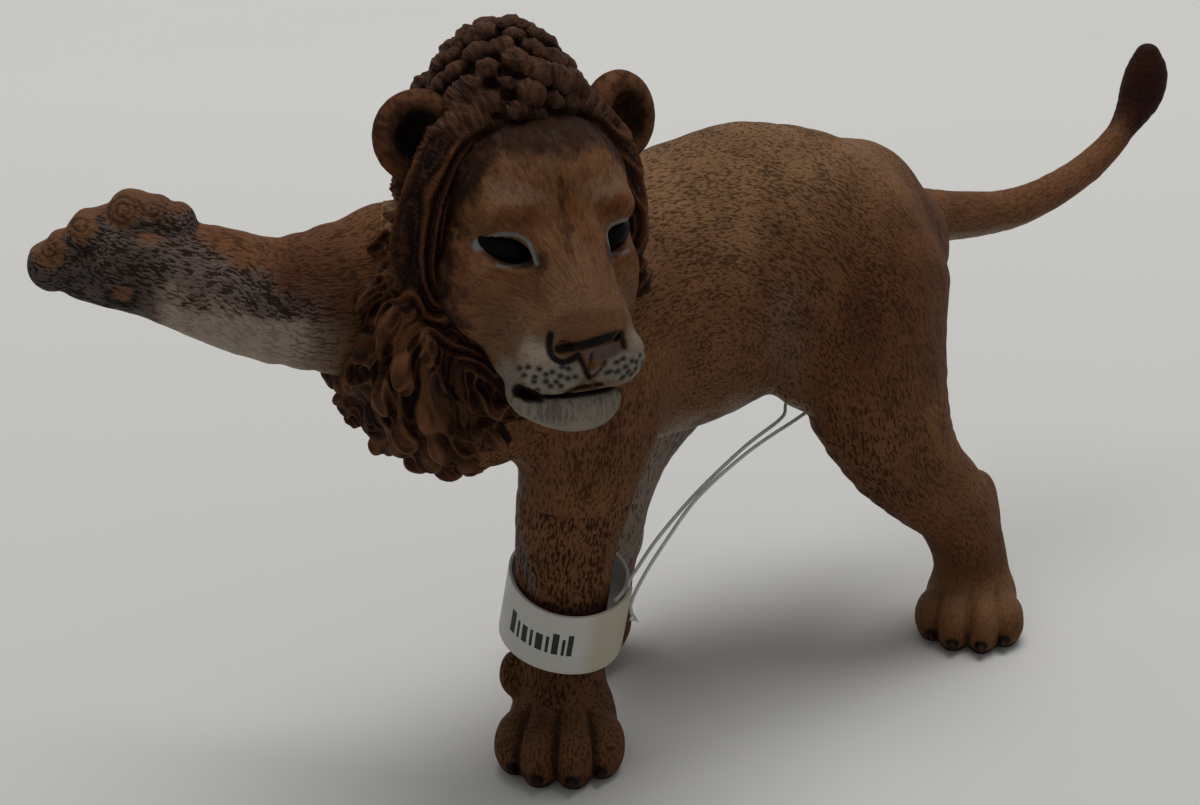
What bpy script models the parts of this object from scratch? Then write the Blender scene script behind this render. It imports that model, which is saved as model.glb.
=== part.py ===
"""A painted toy lion, turning its head to its left and raising its right forepaw, with a price-tag
band round the standing foreleg. It faces -Y, its left side is +X and it stands on z = 0."""

import bisect
import math

import bmesh
import bpy
from mathutils import Matrix, Quaternion, Vector

# Overall sizes of the animal, in metres. Tables of shares below place every form inside them.
BACK_HEIGHT = 0.064
BODY_LENGTH = 0.072
BODY_WIDTH = 0.024
HEAD_LENGTH = 0.020
NECK_THICKNESS = 0.021
FORELEG_THICKNESS = 0.0105
HIND_LEG_THICKNESS = 0.0105
RAISED_LEG_THICKNESS = 0.011
FOREPAW_WIDTH = 0.0137
HIND_PAW_WIDTH = 0.0125
TAIL_THICKNESS = 0.006
TUFT_THICKNESS = 0.0062
CURL_SIZE = 0.0042

# How the head sits on the neck, and which way each paw points.
HEAD_TURN = math.radians(66)
HEAD_NOD = math.radians(2)
FOREPAW_TURN = math.radians(40)
LEFT_HIND_PAW_TURN = math.radians(34)
RIGHT_HIND_PAW_TURN = math.radians(-8)

# How the castings are made and joined.
SEAM_GAP = 0.0003
MANE_GAP = 0.0004
PEG_DIAMETER = 0.0045
PEG_LENGTH = 0.0042
PEG_ROOT = 0.002
SKIN_STEP = 0.0007
CURL_STEP = 0.0006
OVERRUN = 0.02

# The tag: a strip bent round the foreleg, and the nylon loop through its hole.
BAND_WIDTH = 0.0074
BAND_THICKNESS = 0.0004
THREAD_DIAMETER = 0.0004
BAND_HOLE_DIAMETER = 0.0012

# Tables of the animal's forms. A place is in shares of (width, length, back height), and a half size
# is in shares of the named thickness that the table belongs to.
TORSO_SHARES = (
    # x, y, z, half width of the body width, half height of the back height
    (0.00, -0.345, 0.790, 0.20, 0.100),
    (0.04, -0.280, 0.762, 0.33, 0.155),
    (0.02, -0.160, 0.750, 0.47, 0.224),
    (0.00, 0.000, 0.742, 0.475, 0.230),
    (0.00, 0.140, 0.744, 0.450, 0.243),
    (0.00, 0.270, 0.750, 0.455, 0.224),
    (0.00, 0.380, 0.738, 0.455, 0.192),
    (0.00, 0.480, 0.710, 0.415, 0.162),
    (0.00, 0.555, 0.690, 0.330, 0.125),
)
NECK_SHARES = (
    # x, y, z, half width, half depth of the neck thickness
    (0.00, -0.110, 0.790, 0.50, 0.56),
    (0.03, -0.180, 0.860, 0.46, 0.48),
    (0.08, -0.225, 0.920, 0.40, 0.42),
)
MUSCLE_SHARES = (
    # x, y, z of the centre, then the half sizes in shares of width, length and back height
    (0.24, -0.165, 0.680, 0.25, 0.115, 0.180),
    (-0.24, -0.220, 0.760, 0.25, 0.110, 0.150),
    (0.24, 0.400, 0.690, 0.27, 0.135, 0.190),
    (-0.24, 0.390, 0.690, 0.27, 0.135, 0.190),
    (0.30, 0.300, 0.590, 0.14, 0.110, 0.090),
    (0.00, 0.200, 0.920, 0.20, 0.110, 0.062),
    (0.06, -0.310, 0.680, 0.22, 0.065, 0.105),
)
LEFT_FORELEG_SHARES = (
    # x, y, z, half width, half depth of the foreleg thickness
    (0.28, -0.165, 0.700, 0.62, 0.72),
    (0.22, -0.178, 0.560, 0.58, 0.60),
    (0.14, -0.178, 0.440, 0.52, 0.54),
    (0.07, -0.168, 0.300, 0.455, 0.46),
    (0.02, -0.154, 0.180, 0.42, 0.42),
    (0.00, -0.144, 0.090, 0.44, 0.44),
)
LEFT_HIND_LEG_SHARES = (
    (0.32, 0.420, 0.700, 0.60, 0.98),
    (0.40, 0.385, 0.560, 0.56, 1.00),
    (0.46, 0.415, 0.430, 0.50, 0.74),
    (0.50, 0.465, 0.340, 0.45, 0.56),
    (0.53, 0.545, 0.255, 0.41, 0.48),
    (0.54, 0.590, 0.160, 0.39, 0.44),
    (0.55, 0.605, 0.080, 0.42, 0.42),
)
RIGHT_HIND_LEG_SHARES = (
    (-0.32, 0.420, 0.700, 0.62, 1.00),
    (-0.42, 0.270, 0.560, 0.56, 0.86),
    (-0.46, 0.160, 0.440, 0.50, 0.66),
    (-0.49, 0.120, 0.330, 0.44, 0.52),
    (-0.52, 0.115, 0.230, 0.40, 0.42),
    (-0.54, 0.105, 0.150, 0.38, 0.38),
    (-0.55, 0.095, 0.080, 0.42, 0.40),
)
RAISED_LEG_SHARES = (
    (-0.22, -0.270, 0.800, 0.66, 0.72),
    (-0.34, -0.390, 0.822, 0.60, 0.70),
    (-0.50, -0.500, 0.846, 0.52, 0.56),
    (-0.70, -0.565, 0.876, 0.44, 0.49),
    (-0.92, -0.630, 0.898, 0.40, 0.40),
)
TAIL_SHARES = (
    # x, y, z, half thickness of the tail thickness
    (0.00, 0.570, 0.745, 0.64),
    (0.00, 0.680, 0.716, 0.52),
    (0.00, 0.850, 0.680, 0.42),
    (0.00, 0.970, 0.674, 0.37),
    (0.00, 1.100, 0.694, 0.33),
    (0.00, 1.190, 0.730, 0.29),
    (0.00, 1.248, 0.775, 0.26),
)
TUFT_SHARES = (
    # x, y, z, half thickness of the tuft thickness
    (0.00, 1.242, 0.770, 0.26),
    (0.00, 1.276, 0.808, 0.44),
    (0.00, 1.292, 0.852, 0.46),
    (0.00, 1.292, 0.892, 0.26),
)
# Paw forms in shares of the paw width: x across, y backwards from the ankle, z up from the sole.
PAW_SHARES = (
    ((0.00, -0.12, 0.27), (0.42, 0.44, 0.34)),
    ((-0.33, -0.34, 0.20), (0.17, 0.25, 0.25)),
    ((-0.13, -0.49, 0.21), (0.17, 0.26, 0.28)),
    ((0.13, -0.49, 0.21), (0.17, 0.26, 0.28)),
    ((0.33, -0.34, 0.20), (0.17, 0.25, 0.25)),
)
RAISED_PAW_SHARES = (
    ((0.00, 0.00, 0.02), (0.40, 0.30, 0.24)),
    ((-0.24, 0.02, 0.02), (0.30, 0.24, 0.22)),
    ((-0.52, -0.04, -0.04), (0.19, 0.20, 0.22)),
    ((-0.26, -0.16, -0.06), (0.20, 0.22, 0.22)),
    ((0.06, -0.30, -0.06), (0.19, 0.22, 0.22)),
    ((0.34, -0.20, -0.04), (0.17, 0.21, 0.22)),
)
RAISED_SOLE_SHARES = (0.62, -0.70, 0.30)
RAISED_TOES_SHARES = (-0.20, 0.02, 1.00)
DEWCLAW_SHARES = (-0.14, -0.196, 0.135)
DEWCLAW_SIZE_SHARES = (0.13, 0.13, 0.20)
# Head forms, in shares of the head length: x to its left, y backwards, z up, from between the eyes.
HEAD_PLACE_SHARES = (0.18, -0.264, 0.969)
HEAD_FORM_SHARES = (
    # centre, then half sizes
    ((0.00, 0.05, 0.08), (0.49, 0.52, 0.50)),
    ((0.00, -0.27, 0.22), (0.36, 0.26, 0.28)),
    ((0.22, -0.42, 0.12), (0.17, 0.11, 0.09)),
    ((-0.22, -0.42, 0.12), (0.17, 0.11, 0.09)),
    ((0.28, -0.22, -0.24), (0.21, 0.30, 0.27)),
    ((-0.28, -0.22, -0.24), (0.21, 0.30, 0.27)),
    ((0.00, -0.62, -0.34), (0.28, 0.26, 0.21)),
    ((0.140, -0.74, -0.42), (0.160, 0.155, 0.155)),
    ((-0.140, -0.74, -0.42), (0.160, 0.155, 0.155)),
    ((0.00, -0.85, -0.27), (0.140, 0.075, 0.085)),
    ((0.00, -0.66, -0.64), (0.20, 0.16, 0.13)),
    ((0.00, -0.35, -0.52), (0.30, 0.34, 0.18)),
    ((0.27, -0.42, 0.00), (0.12, 0.09, 0.10)),
    ((-0.27, -0.42, 0.00), (0.12, 0.09, 0.10)),
)
NOSE_BRIDGE_SHARES = (
    # x, y, z, half width, half depth
    (0.00, -0.36, 0.20, 0.20, 0.16),
    (0.00, -0.58, 0.00, 0.16, 0.15),
    (0.00, -0.79, -0.22, 0.15, 0.12),
)
NECK_PLUG_SHARES = (
    (0.00, 0.10, -0.10, 0.42, 0.42),
    (0.04, 0.22, -0.30, 0.36, 0.36),
    (0.08, 0.28, -0.50, 0.28, 0.28),
)
EAR_CENTRE_SHARES = (0.49, 0.09, 0.40)
EAR_SHARES = (0.215, 0.11, 0.215)
EAR_HOLLOW_SHARES = (0.13, 0.07, 0.14)
EAR_HOLLOW_DEPTH_SHARE = 0.09
EAR_TURN = math.radians(24)
EAR_TIP = math.radians(-10)
# The mane: crest, nape and locks beside the face in head shares, then ruff and bib in body shares.
CREST_SHARES = (
    # centre, half sizes in shares of the head length, curls over it, their size in shares of a curl
    ((-0.05, 0.15, 0.50), (0.30, 0.33, 0.325), 64, 0.72),
    ((-0.04, 0.46, 0.12), (0.42, 0.24, 0.50), 44, 0.90),
)
LOCK_SHARES = (
    # x, y, z, half width, half depth of the head length
    ((-0.22, 0.00, 0.56, 0.12, 0.10), (-0.44, -0.08, 0.34, 0.11, 0.10), (-0.54, -0.08, 0.00, 0.12, 0.12),
     (-0.54, -0.02, -0.35, 0.13, 0.12), (-0.46, 0.02, -0.66, 0.13, 0.12)),
    ((0.18, 0.02, 0.56, 0.11, 0.09), (0.40, -0.08, 0.34, 0.08, 0.08), (0.48, -0.10, 0.05, 0.07, 0.07),
     (0.48, -0.12, -0.30, 0.07, 0.07)),
)
RUFF_SHARES = (
    # centre, half sizes in shares of width, length and back height, curls over it, their size
    ((-0.15, -0.315, 0.768), (0.49, 0.148, 0.204), 120, 0.94),
    ((-0.06, -0.200, 0.950), (0.40, 0.110, 0.110), 34, 0.94),
)
# Seams: a point on the seam plane in body shares, the way out of the torso, then how far the limb's own
# space reaches beside the seam, up or down it, and out, in shares of the body length.
SEAM_SHARES = {
    "left_foreleg": ((0.18, -0.176, 0.500), (-0.08, 0.02, -1.00), (0.13, 0.20, 0.55)),
    "left_hind_leg": ((0.45, 0.420, 0.500), (0.00, 0.00, -1.00), (0.15, 0.36, 0.55)),
    "right_hind_leg": ((-0.45, 0.160, 0.500), (0.00, 0.00, -1.00), (0.15, 0.36, 0.55)),
    "right_foreleg": ((-0.34, -0.390, 0.826), (-0.60, -0.72, 0.16), (0.20, 0.20, 0.70)),
    "tail": ((0.00, 0.640, 0.722), (0.00, 1.00, -0.20), (0.10, 0.36, 0.90)),
}
# The tag's ring round the standing foreleg: its centre in body shares, its lean, and its round in shares
# of the foreleg's thickness. The strip starts as an inner flap and laps over it at the right.
BAND_PLACE_SHARES = (0.052, -0.156, 0.276)
BAND_LEAN_SHARES = (0.24, -0.04, 1.00)
BAND_ROUND_SHARES = (0.60, 0.66)
BAND_FLAP = math.radians(-34)
BAND_END = math.radians(352)
BAND_HOLE_TURN = math.radians(-12)
# The thread's free run in body shares, from the hole to the loop's far bend and back to the strip's edge.
THREAD_ROUTE_SHARES = (
    (0.262, -0.096, 0.272), (0.283, -0.078, 0.319), (0.296, -0.033, 0.372), (0.292, 0.036, 0.425),
    (0.263, 0.156, 0.461), (0.217, 0.282, 0.473), (0.175, 0.338, 0.475), (0.125, 0.358, 0.478),
    (0.083, 0.340, 0.481), (0.100, 0.300, 0.482), (0.183, 0.258, 0.478), (0.242, 0.153, 0.467),
    (0.271, 0.040, 0.428), (0.271, -0.040, 0.378), (0.246, -0.075, 0.333),
)
CURL_SHARES = (0.62, 0.34, 0.36)
CURL_TWIST = 0.7
CURL_RHYTHM = 2.4
CURL_VARIETY = 0.14

# How finely each form is made: faces left after thinning, rounds of smoothing, and steps.
FACES = {"skin": 4500, "head": 2000, "mane": 4800, "cutter": 2800, "under_mane": 5200}
ROUNDING = {"skin": 6, "head": 2, "mane": 1}
RING_POINTS = 20
BALL_DIVISIONS = 3
STEPS_BETWEEN = 4
BAND_STEPS = 36
THREAD_POINTS = 58
QUARTER_TURN = math.radians(90)
FULL_TURN = math.radians(360)

# Colour and roughness of each paint or plastic.
PAINTS = {
    "painted_coat": ((0.25, 0.13, 0.07), 0.6),
    "painted_mane": ((0.10, 0.045, 0.025), 0.65),
    "white_strip": ((0.75, 0.74, 0.71), 0.45),
    "clear_nylon": ((0.55, 0.58, 0.55), 0.2),
}


def body_point(shares):
    x, y, z = shares
    return Vector((x * BODY_WIDTH, y * BODY_LENGTH, z * BACK_HEIGHT))


HEAD_FRAME = (
    Matrix.Translation(body_point(HEAD_PLACE_SHARES))
    @ Matrix.Rotation(HEAD_TURN, 4, "Z")
    @ Matrix.Rotation(HEAD_NOD, 4, "X")
)


def head_point(shares):
    return HEAD_FRAME @ (HEAD_LENGTH * Vector(shares))


def clear_scene():
    for obj in list(bpy.data.objects):
        bpy.data.objects.remove(obj)


def painted(name):
    colour, roughness = PAINTS[name]
    material = bpy.data.materials.new(name)
    material.use_nodes = True
    shader = material.node_tree.nodes["Principled BSDF"]
    shader.inputs["Base Color"].default_value = (*colour, 1)
    shader.inputs["Roughness"].default_value = roughness
    shader.inputs["Metallic"].default_value = 0
    material.diffuse_color = (*colour, 1)
    return material


def object_from(form, name, helper=False):
    mesh = bpy.data.meshes.new(name)
    form.to_mesh(mesh)
    form.free()
    obj = bpy.data.objects.new(name, mesh)
    bpy.context.scene.collection.objects.link(obj)
    if helper:
        obj.hide_render = True
        obj.display_type = "WIRE"
    return obj


def settle(obj):
    """Replace the object's mesh by what its modifiers make of it."""
    graph = bpy.context.evaluated_depsgraph_get()
    made = bpy.data.meshes.new_from_object(obj.evaluated_get(graph), depsgraph=graph)
    obj.modifiers.clear()
    old = obj.data
    obj.data = made
    bpy.data.meshes.remove(old)
    return obj


def spline_value(before, start, end, after, share):
    """The Catmull-Rom value at this share of the way from start to end."""
    slope = end - before
    bend = 2 * before - 5 * start + 4 * end - after
    twist = 3 * start - before - 3 * end + after
    return start + (slope * share + bend * share**2 + twist * share**3) / 2


def between(stations):
    """The stations with evenly eased ones between them, by a Catmull-Rom spline through each value."""
    rows = [tuple(centre) + tuple(sizes) for centre, *sizes in stations]
    rows = [rows[0], *rows, rows[-1]]
    eased = []
    for before, start, end, after in zip(rows, rows[1:], rows[2:], rows[3:]):
        for step in range(STEPS_BETWEEN):
            values = zip(before, start, end, after)
            eased.append(tuple(spline_value(*four, step / STEPS_BETWEEN) for four in values))
    eased.append(rows[-1])
    return [(Vector(row[:3]), *row[3:]) for row in eased]


def add_ellipsoid(form, centre, radii, turn=None):
    turn = turn or Matrix.Identity(4)
    place = Matrix.Translation(centre) @ turn @ Matrix.Diagonal((*radii, 1))
    bmesh.ops.create_icosphere(form, subdivisions=BALL_DIVISIONS, radius=1, matrix=place)


def add_limb(form, stations, side):
    """A tapered round form along the stations, half width along side, with a round end at both ends."""
    stations = between(stations)
    rings = []
    ends = []
    for index, (centre, half_width, half_depth) in enumerate(stations):
        ahead = stations[min(index + 1, len(stations) - 1)][0]
        behind = stations[max(index - 1, 0)][0]
        along = (ahead - behind).normalized()
        across = (side - side.dot(along) * along).normalized()
        deep = along.cross(across)
        ring = []
        for point in range(RING_POINTS):
            angle = FULL_TURN * point / RING_POINTS
            offset = across * half_width * math.cos(angle) + deep * half_depth * math.sin(angle)
            ring.append(form.verts.new(centre + offset))
        rings.append(ring)
        turn = Matrix((across, deep, along)).transposed().to_4x4()
        ends.append((centre, (half_width, half_depth, min(half_width, half_depth)), turn))
    for ring, following in zip(rings, rings[1:]):
        for point in range(RING_POINTS):
            beyond = (point + 1) % RING_POINTS
            form.faces.new((ring[point], ring[beyond], following[beyond], following[point]))
    form.faces.new(list(reversed(rings[0])))
    form.faces.new(rings[-1])
    add_ellipsoid(form, *ends[0])
    add_ellipsoid(form, *ends[-1])


def moulded(form, name, step, rounding, faces, grow=0.0, helper=False):
    """One closed skin over the overlapping forms, rounded where they meet, thinned to the count."""
    bmesh.ops.recalc_face_normals(form, faces=form.faces)
    obj = object_from(form, name, helper)
    remesh = obj.modifiers.new("one skin", "REMESH")
    remesh.mode = "VOXEL"
    remesh.voxel_size = step
    smooth = obj.modifiers.new("rounded", "SMOOTH")
    smooth.iterations = rounding
    if grow:
        thicker = obj.modifiers.new("clearance", "DISPLACE")
        thicker.strength = grow
        thicker.mid_level = 0
        again = obj.modifiers.new("clean", "REMESH")
        again.mode = "VOXEL"
        again.voxel_size = step
    settle(obj)
    thin = obj.modifiers.new("thinned", "DECIMATE")
    thin.ratio = min(1.0, faces / (2 * len(obj.data.polygons)))
    return settle(obj)


def boolean(obj, other, operation):
    cut = obj.modifiers.new(operation.lower(), "BOOLEAN")
    cut.operation = operation
    cut.object = other
    cut.solver = "EXACT"
    settle(obj)
    return obj


def body_form():
    """Torso, neck, legs and tail as overlapping forms."""
    form = bmesh.new()
    left = Vector((1, 0, 0))
    torso = [
        (body_point(row[:3]), row[3] * BODY_WIDTH, row[4] * BACK_HEIGHT) for row in TORSO_SHARES
    ]
    add_limb(form, torso, left)
    for row in MUSCLE_SHARES:
        radii = (row[3] * BODY_WIDTH, row[4] * BODY_LENGTH, row[5] * BACK_HEIGHT)
        add_ellipsoid(form, body_point(row[:3]), radii)
    limbs = (
        (NECK_SHARES, NECK_THICKNESS),
        (LEFT_FORELEG_SHARES, FORELEG_THICKNESS),
        (LEFT_HIND_LEG_SHARES, HIND_LEG_THICKNESS),
        (RIGHT_HIND_LEG_SHARES, HIND_LEG_THICKNESS),
        (RAISED_LEG_SHARES, RAISED_LEG_THICKNESS),
    )
    for rows, thickness in limbs:
        stations = [
            (body_point(row[:3]), row[3] * thickness, row[4] * thickness) for row in rows
        ]
        add_limb(form, stations, left)
    for rows, thickness in ((TAIL_SHARES, TAIL_THICKNESS), (TUFT_SHARES, TUFT_THICKNESS)):
        stations = [(body_point(row[:3]), row[3] * thickness, row[3] * thickness) for row in rows]
        add_limb(form, stations, left)
    standing = (
        (LEFT_FORELEG_SHARES, FOREPAW_TURN, FOREPAW_WIDTH),
        (LEFT_HIND_LEG_SHARES, LEFT_HIND_PAW_TURN, HIND_PAW_WIDTH),
        (RIGHT_HIND_LEG_SHARES, RIGHT_HIND_PAW_TURN, HIND_PAW_WIDTH),
    )
    for rows, turn, width in standing:
        add_paw(form, paw_frame(rows[-1], turn), width, PAW_SHARES)
    add_ellipsoid(form, body_point(DEWCLAW_SHARES), FOREPAW_WIDTH * Vector(DEWCLAW_SIZE_SHARES))
    add_paw(form, raised_paw_frame(), FOREPAW_WIDTH, RAISED_PAW_SHARES)
    return form


def paw_frame(ankle_row, turn):
    """A frame on the ground under the ankle, -Y ahead."""
    under = body_point(ankle_row[:3])
    return Matrix.Translation((under.x, under.y, 0)) @ Matrix.Rotation(turn, 4, "Z")


def raised_paw_frame():
    """The raised paw bends up at the wrist: -Y runs along its toes, and its sole faces ahead."""
    wrist = body_point(RAISED_LEG_SHARES[-1][:3])
    sole = Vector(RAISED_SOLE_SHARES).normalized()
    toes = Vector(RAISED_TOES_SHARES)
    toes = (toes - toes.dot(sole) * sole).normalized()
    turn = Matrix((toes.cross(sole), -toes, -sole)).transposed().to_4x4()
    return Matrix.Translation(wrist) @ turn


def add_paw(form, frame, width, shares):
    for centre, sizes in shares:
        place = frame @ (width * Vector(centre))
        add_ellipsoid(form, place, width * Vector(sizes), frame.to_3x3().to_4x4())


def head_form(form):
    """The head and its plug, added to the forms that are there already."""
    turn = HEAD_FRAME.to_3x3().to_4x4()
    for centre, sizes in HEAD_FORM_SHARES:
        add_ellipsoid(form, head_point(centre), HEAD_LENGTH * Vector(sizes), turn)
    for side in (1, -1):
        frame = ear_frame(side)
        add_ellipsoid(
            form, frame.to_translation(), HEAD_LENGTH * Vector(EAR_SHARES), frame.to_3x3().to_4x4()
        )
    left = HEAD_FRAME.to_3x3() @ Vector((1, 0, 0))
    for rows in (NOSE_BRIDGE_SHARES, NECK_PLUG_SHARES):
        stations = [
            (head_point(row[:3]), row[3] * HEAD_LENGTH, row[4] * HEAD_LENGTH) for row in rows
        ]
        add_limb(form, stations, left)
    return form


def add_curls(form, centre, radii, turn, count, size):
    """Lumps of hair, evenly spread over an oval form along a golden-angle spiral. They lie round the
    face, and each is turned and sized a little differently."""
    golden = math.pi * (3 - math.sqrt(5))
    turn = turn.to_3x3()
    ahead = HEAD_FRAME.to_3x3() @ Vector((0, -1, 0))
    for index in range(count):
        height = 1 - (2 * index + 1) / count
        round_share = math.sqrt(1 - height * height)
        angle = index * golden
        way = Vector((round_share * math.cos(angle), round_share * math.sin(angle), height))
        place = centre + turn @ Vector([radius * part for radius, part in zip(radii, way)])
        out = turn @ Vector([part / radius for radius, part in zip(radii, way)])
        out.normalize()
        along = ahead.cross(place - HEAD_FRAME.to_translation())
        along = (along - along.dot(out) * out).normalized()
        along.rotate(Quaternion(out, CURL_TWIST * math.sin(CURL_RHYTHM * index)))
        lean = Matrix((along, out.cross(along), out)).transposed().to_4x4()
        scale = size * CURL_SIZE * (1 + CURL_VARIETY * math.cos(CURL_RHYTHM * index * index))
        add_ellipsoid(form, place, scale * Vector(CURL_SHARES), lean)


def ear_frame(side):
    """A frame in the middle of an ear, -Y out of its open face."""
    x, y, z = EAR_CENTRE_SHARES
    turn = Matrix.Rotation(side * EAR_TURN, 4, "Z") @ Matrix.Rotation(EAR_TIP, 4, "X")
    return HEAD_FRAME @ Matrix.Translation(HEAD_LENGTH * Vector((side * x, y, z))) @ turn


def hollow_ears(head):
    for side, name in ((1, "left_ear_hollow"), (-1, "right_ear_hollow")):
        form = bmesh.new()
        frame = ear_frame(side)
        centre = frame @ Vector((0, -EAR_HOLLOW_DEPTH_SHARE * HEAD_LENGTH, 0))
        radii = HEAD_LENGTH * Vector(EAR_HOLLOW_SHARES)
        add_ellipsoid(form, centre, radii, frame.to_3x3().to_4x4())
        boolean(head, object_from(form, name, helper=True), "DIFFERENCE")


def mane_form():
    form = bmesh.new()
    turn = HEAD_FRAME.to_3x3().to_4x4()
    for centre, sizes, curls, curl_size in CREST_SHARES:
        radii = HEAD_LENGTH * Vector(sizes)
        add_ellipsoid(form, head_point(centre), radii, turn)
        add_curls(form, head_point(centre), radii, turn, curls, curl_size)
    for rows in LOCK_SHARES:
        stations = [
            (head_point(row[:3]), row[3] * HEAD_LENGTH, row[4] * HEAD_LENGTH) for row in rows
        ]
        add_limb(form, stations, Vector((1, 0, 0)))
    for centre, sizes, curls, curl_size in RUFF_SHARES:
        radii = body_point(sizes)
        add_ellipsoid(form, body_point(centre), radii)
        add_curls(form, body_point(centre), radii, Matrix.Identity(4), curls, curl_size)
    return form


def seam_frame(limb):
    """A frame on the limb's seam: +Z out of the torso, X across the animal as nearly as it can be."""
    place, way, _ = SEAM_SHARES[limb]
    out = Vector(way).normalized()
    across = Vector((1, 0, 0)) - out.x * out
    across.normalize()
    turn = Matrix((across, out.cross(across), out)).transposed().to_4x4()
    return Matrix.Translation(body_point(place)) @ turn


def helper_box(name, frame, across, deep, low, high):
    form = bmesh.new()
    middle = Vector((0, 0, (low + high) / 2))
    size = Matrix.Diagonal((2 * across, 2 * deep, high - low, 1))
    bmesh.ops.create_cube(form, size=1, matrix=frame @ Matrix.Translation(middle) @ size)
    return object_from(form, name, helper=True)


def helper_rod(name, frame, diameter, low, high):
    form = bmesh.new()
    bmesh.ops.create_cone(
        form,
        cap_ends=True,
        segments=RING_POINTS,
        radius1=diameter / 2,
        radius2=diameter / 2,
        depth=high - low,
        matrix=frame @ Matrix.Translation((0, 0, (low + high) / 2)),
    )
    return object_from(form, name, helper=True)


def limb_region(limb, grow):
    across, deep, reach = (share * BODY_LENGTH for share in SEAM_SHARES[limb][2])
    return helper_box(
        limb + "_space", seam_frame(limb), across + grow, deep + grow, -grow, reach + grow
    )


def copy_of(obj, name):
    twin = obj.copy()
    twin.data = obj.data.copy()
    twin.name = name
    bpy.context.scene.collection.objects.link(twin)
    return twin


def keep_largest(obj):
    """Drop the crumbs that cutting leaves beside the main body."""
    form = bmesh.new()
    form.from_mesh(obj.data)
    form.verts.ensure_lookup_table()
    left = set(form.verts)
    bodies = []
    while left:
        start = left.pop()
        body, edge = {start}, [start]
        while edge:
            for link in edge.pop().link_edges:
                for vert in link.verts:
                    if vert not in body:
                        body.add(vert)
                        edge.append(vert)
        left -= body
        bodies.append(body)
    largest = max(bodies, key=len)
    crumbs = [vert for body in bodies if body is not largest for vert in body]
    bmesh.ops.delete(form, geom=crumbs, context="VERTS")
    form.to_mesh(obj.data)
    form.free()


def split_limb(torso, limb):
    """Cut the limb from the torso at its seam and give it a peg in a socket."""
    piece = boolean(copy_of(torso, limb), limb_region(limb, 0), "INTERSECT")
    keep_largest(piece)
    boolean(torso, limb_region(limb, SEAM_GAP), "DIFFERENCE")
    frame = seam_frame(limb)
    peg = helper_rod(limb + "_peg", frame, PEG_DIAMETER, -PEG_LENGTH, PEG_ROOT)
    socket = helper_rod(
        limb + "_socket",
        frame,
        PEG_DIAMETER + 2 * SEAM_GAP,
        -PEG_LENGTH - SEAM_GAP,
        SEAM_GAP,
    )
    boolean(piece, peg, "UNION")
    boolean(torso, socket, "DIFFERENCE")
    return piece


def band_frame():
    """The ring's frame: +Z along its lean, X towards its lap at the right."""
    lean = Vector(BAND_LEAN_SHARES).normalized()
    lap = Vector((1, 1, 0))
    lap = (lap - lap.dot(lean) * lean).normalized()
    turn = Matrix((lap, lean.cross(lap), lean)).transposed().to_4x4()
    return Matrix.Translation(body_point(BAND_PLACE_SHARES)) @ turn


def band_point(angle, outwards, along):
    """A point of the strip's middle line moved outwards and along the ring's lean."""
    wide, deep = (share * FORELEG_THICKNESS for share in BAND_ROUND_SHARES)
    under = BAND_THICKNESS + SEAM_GAP
    eased = min(1.0, max(0.0, (angle - BAND_FLAP) / QUARTER_TURN))
    inset = under * (1 - eased * eased * (3 - 2 * eased)) - outwards
    return Vector(((wide - inset) * math.cos(angle), (deep - inset) * math.sin(angle), along))


def make_band():
    form = bmesh.new()
    half, low, high = BAND_THICKNESS / 2, -BAND_WIDTH / 2, BAND_WIDTH / 2
    rings = []
    for step in range(BAND_STEPS + 1):
        angle = BAND_FLAP + (BAND_END - BAND_FLAP) * step / BAND_STEPS
        corners = ((-half, low), (half, low), (half, high), (-half, high))
        rings.append([form.verts.new(band_point(angle, *corner)) for corner in corners])
    for ring, following in zip(rings, rings[1:]):
        for corner in range(len(corners)):
            beyond = (corner + 1) % len(corners)
            form.faces.new((ring[corner], ring[beyond], following[beyond], following[corner]))
    form.faces.new(list(reversed(rings[0])))
    form.faces.new(rings[-1])
    bmesh.ops.recalc_face_normals(form, faces=form.faces)
    band = object_from(form, "tag_band")
    reach = 2 * (BAND_THICKNESS + SEAM_GAP)
    hole = helper_rod("tag_hole", hole_frame(), BAND_HOLE_DIAMETER, -reach, reach)
    return boolean(band, hole, "DIFFERENCE")


def hole_frame():
    """A frame on the strip's outer layer at its hole, +Z square out of it."""
    turn = Matrix.Rotation(BAND_HOLE_TURN, 4, "Z") @ Matrix.Rotation(QUARTER_TURN, 4, "Y")
    return Matrix.Translation(band_point(FULL_TURN + BAND_HOLE_TURN, 0, 0)) @ turn


def smooth_route(points, count):
    """Evenly spaced points on a Catmull-Rom curve through the route's own points."""
    stations = between([(point,) for point in points])
    places = [station[0] for station in stations]
    lengths = [0.0]
    for start, end in zip(places, places[1:]):
        lengths.append(lengths[-1] + (end - start).length)
    spaced = []
    for index in range(count):
        target = lengths[-1] * index / (count - 1)
        upper = min(bisect.bisect_left(lengths, target), len(lengths) - 1)
        lower = max(upper - 1, 0)
        span = lengths[upper] - lengths[lower]
        share = (target - lengths[lower]) / span if span else 0
        spaced.append(places[lower].lerp(places[upper], share))
    return spaced


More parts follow.
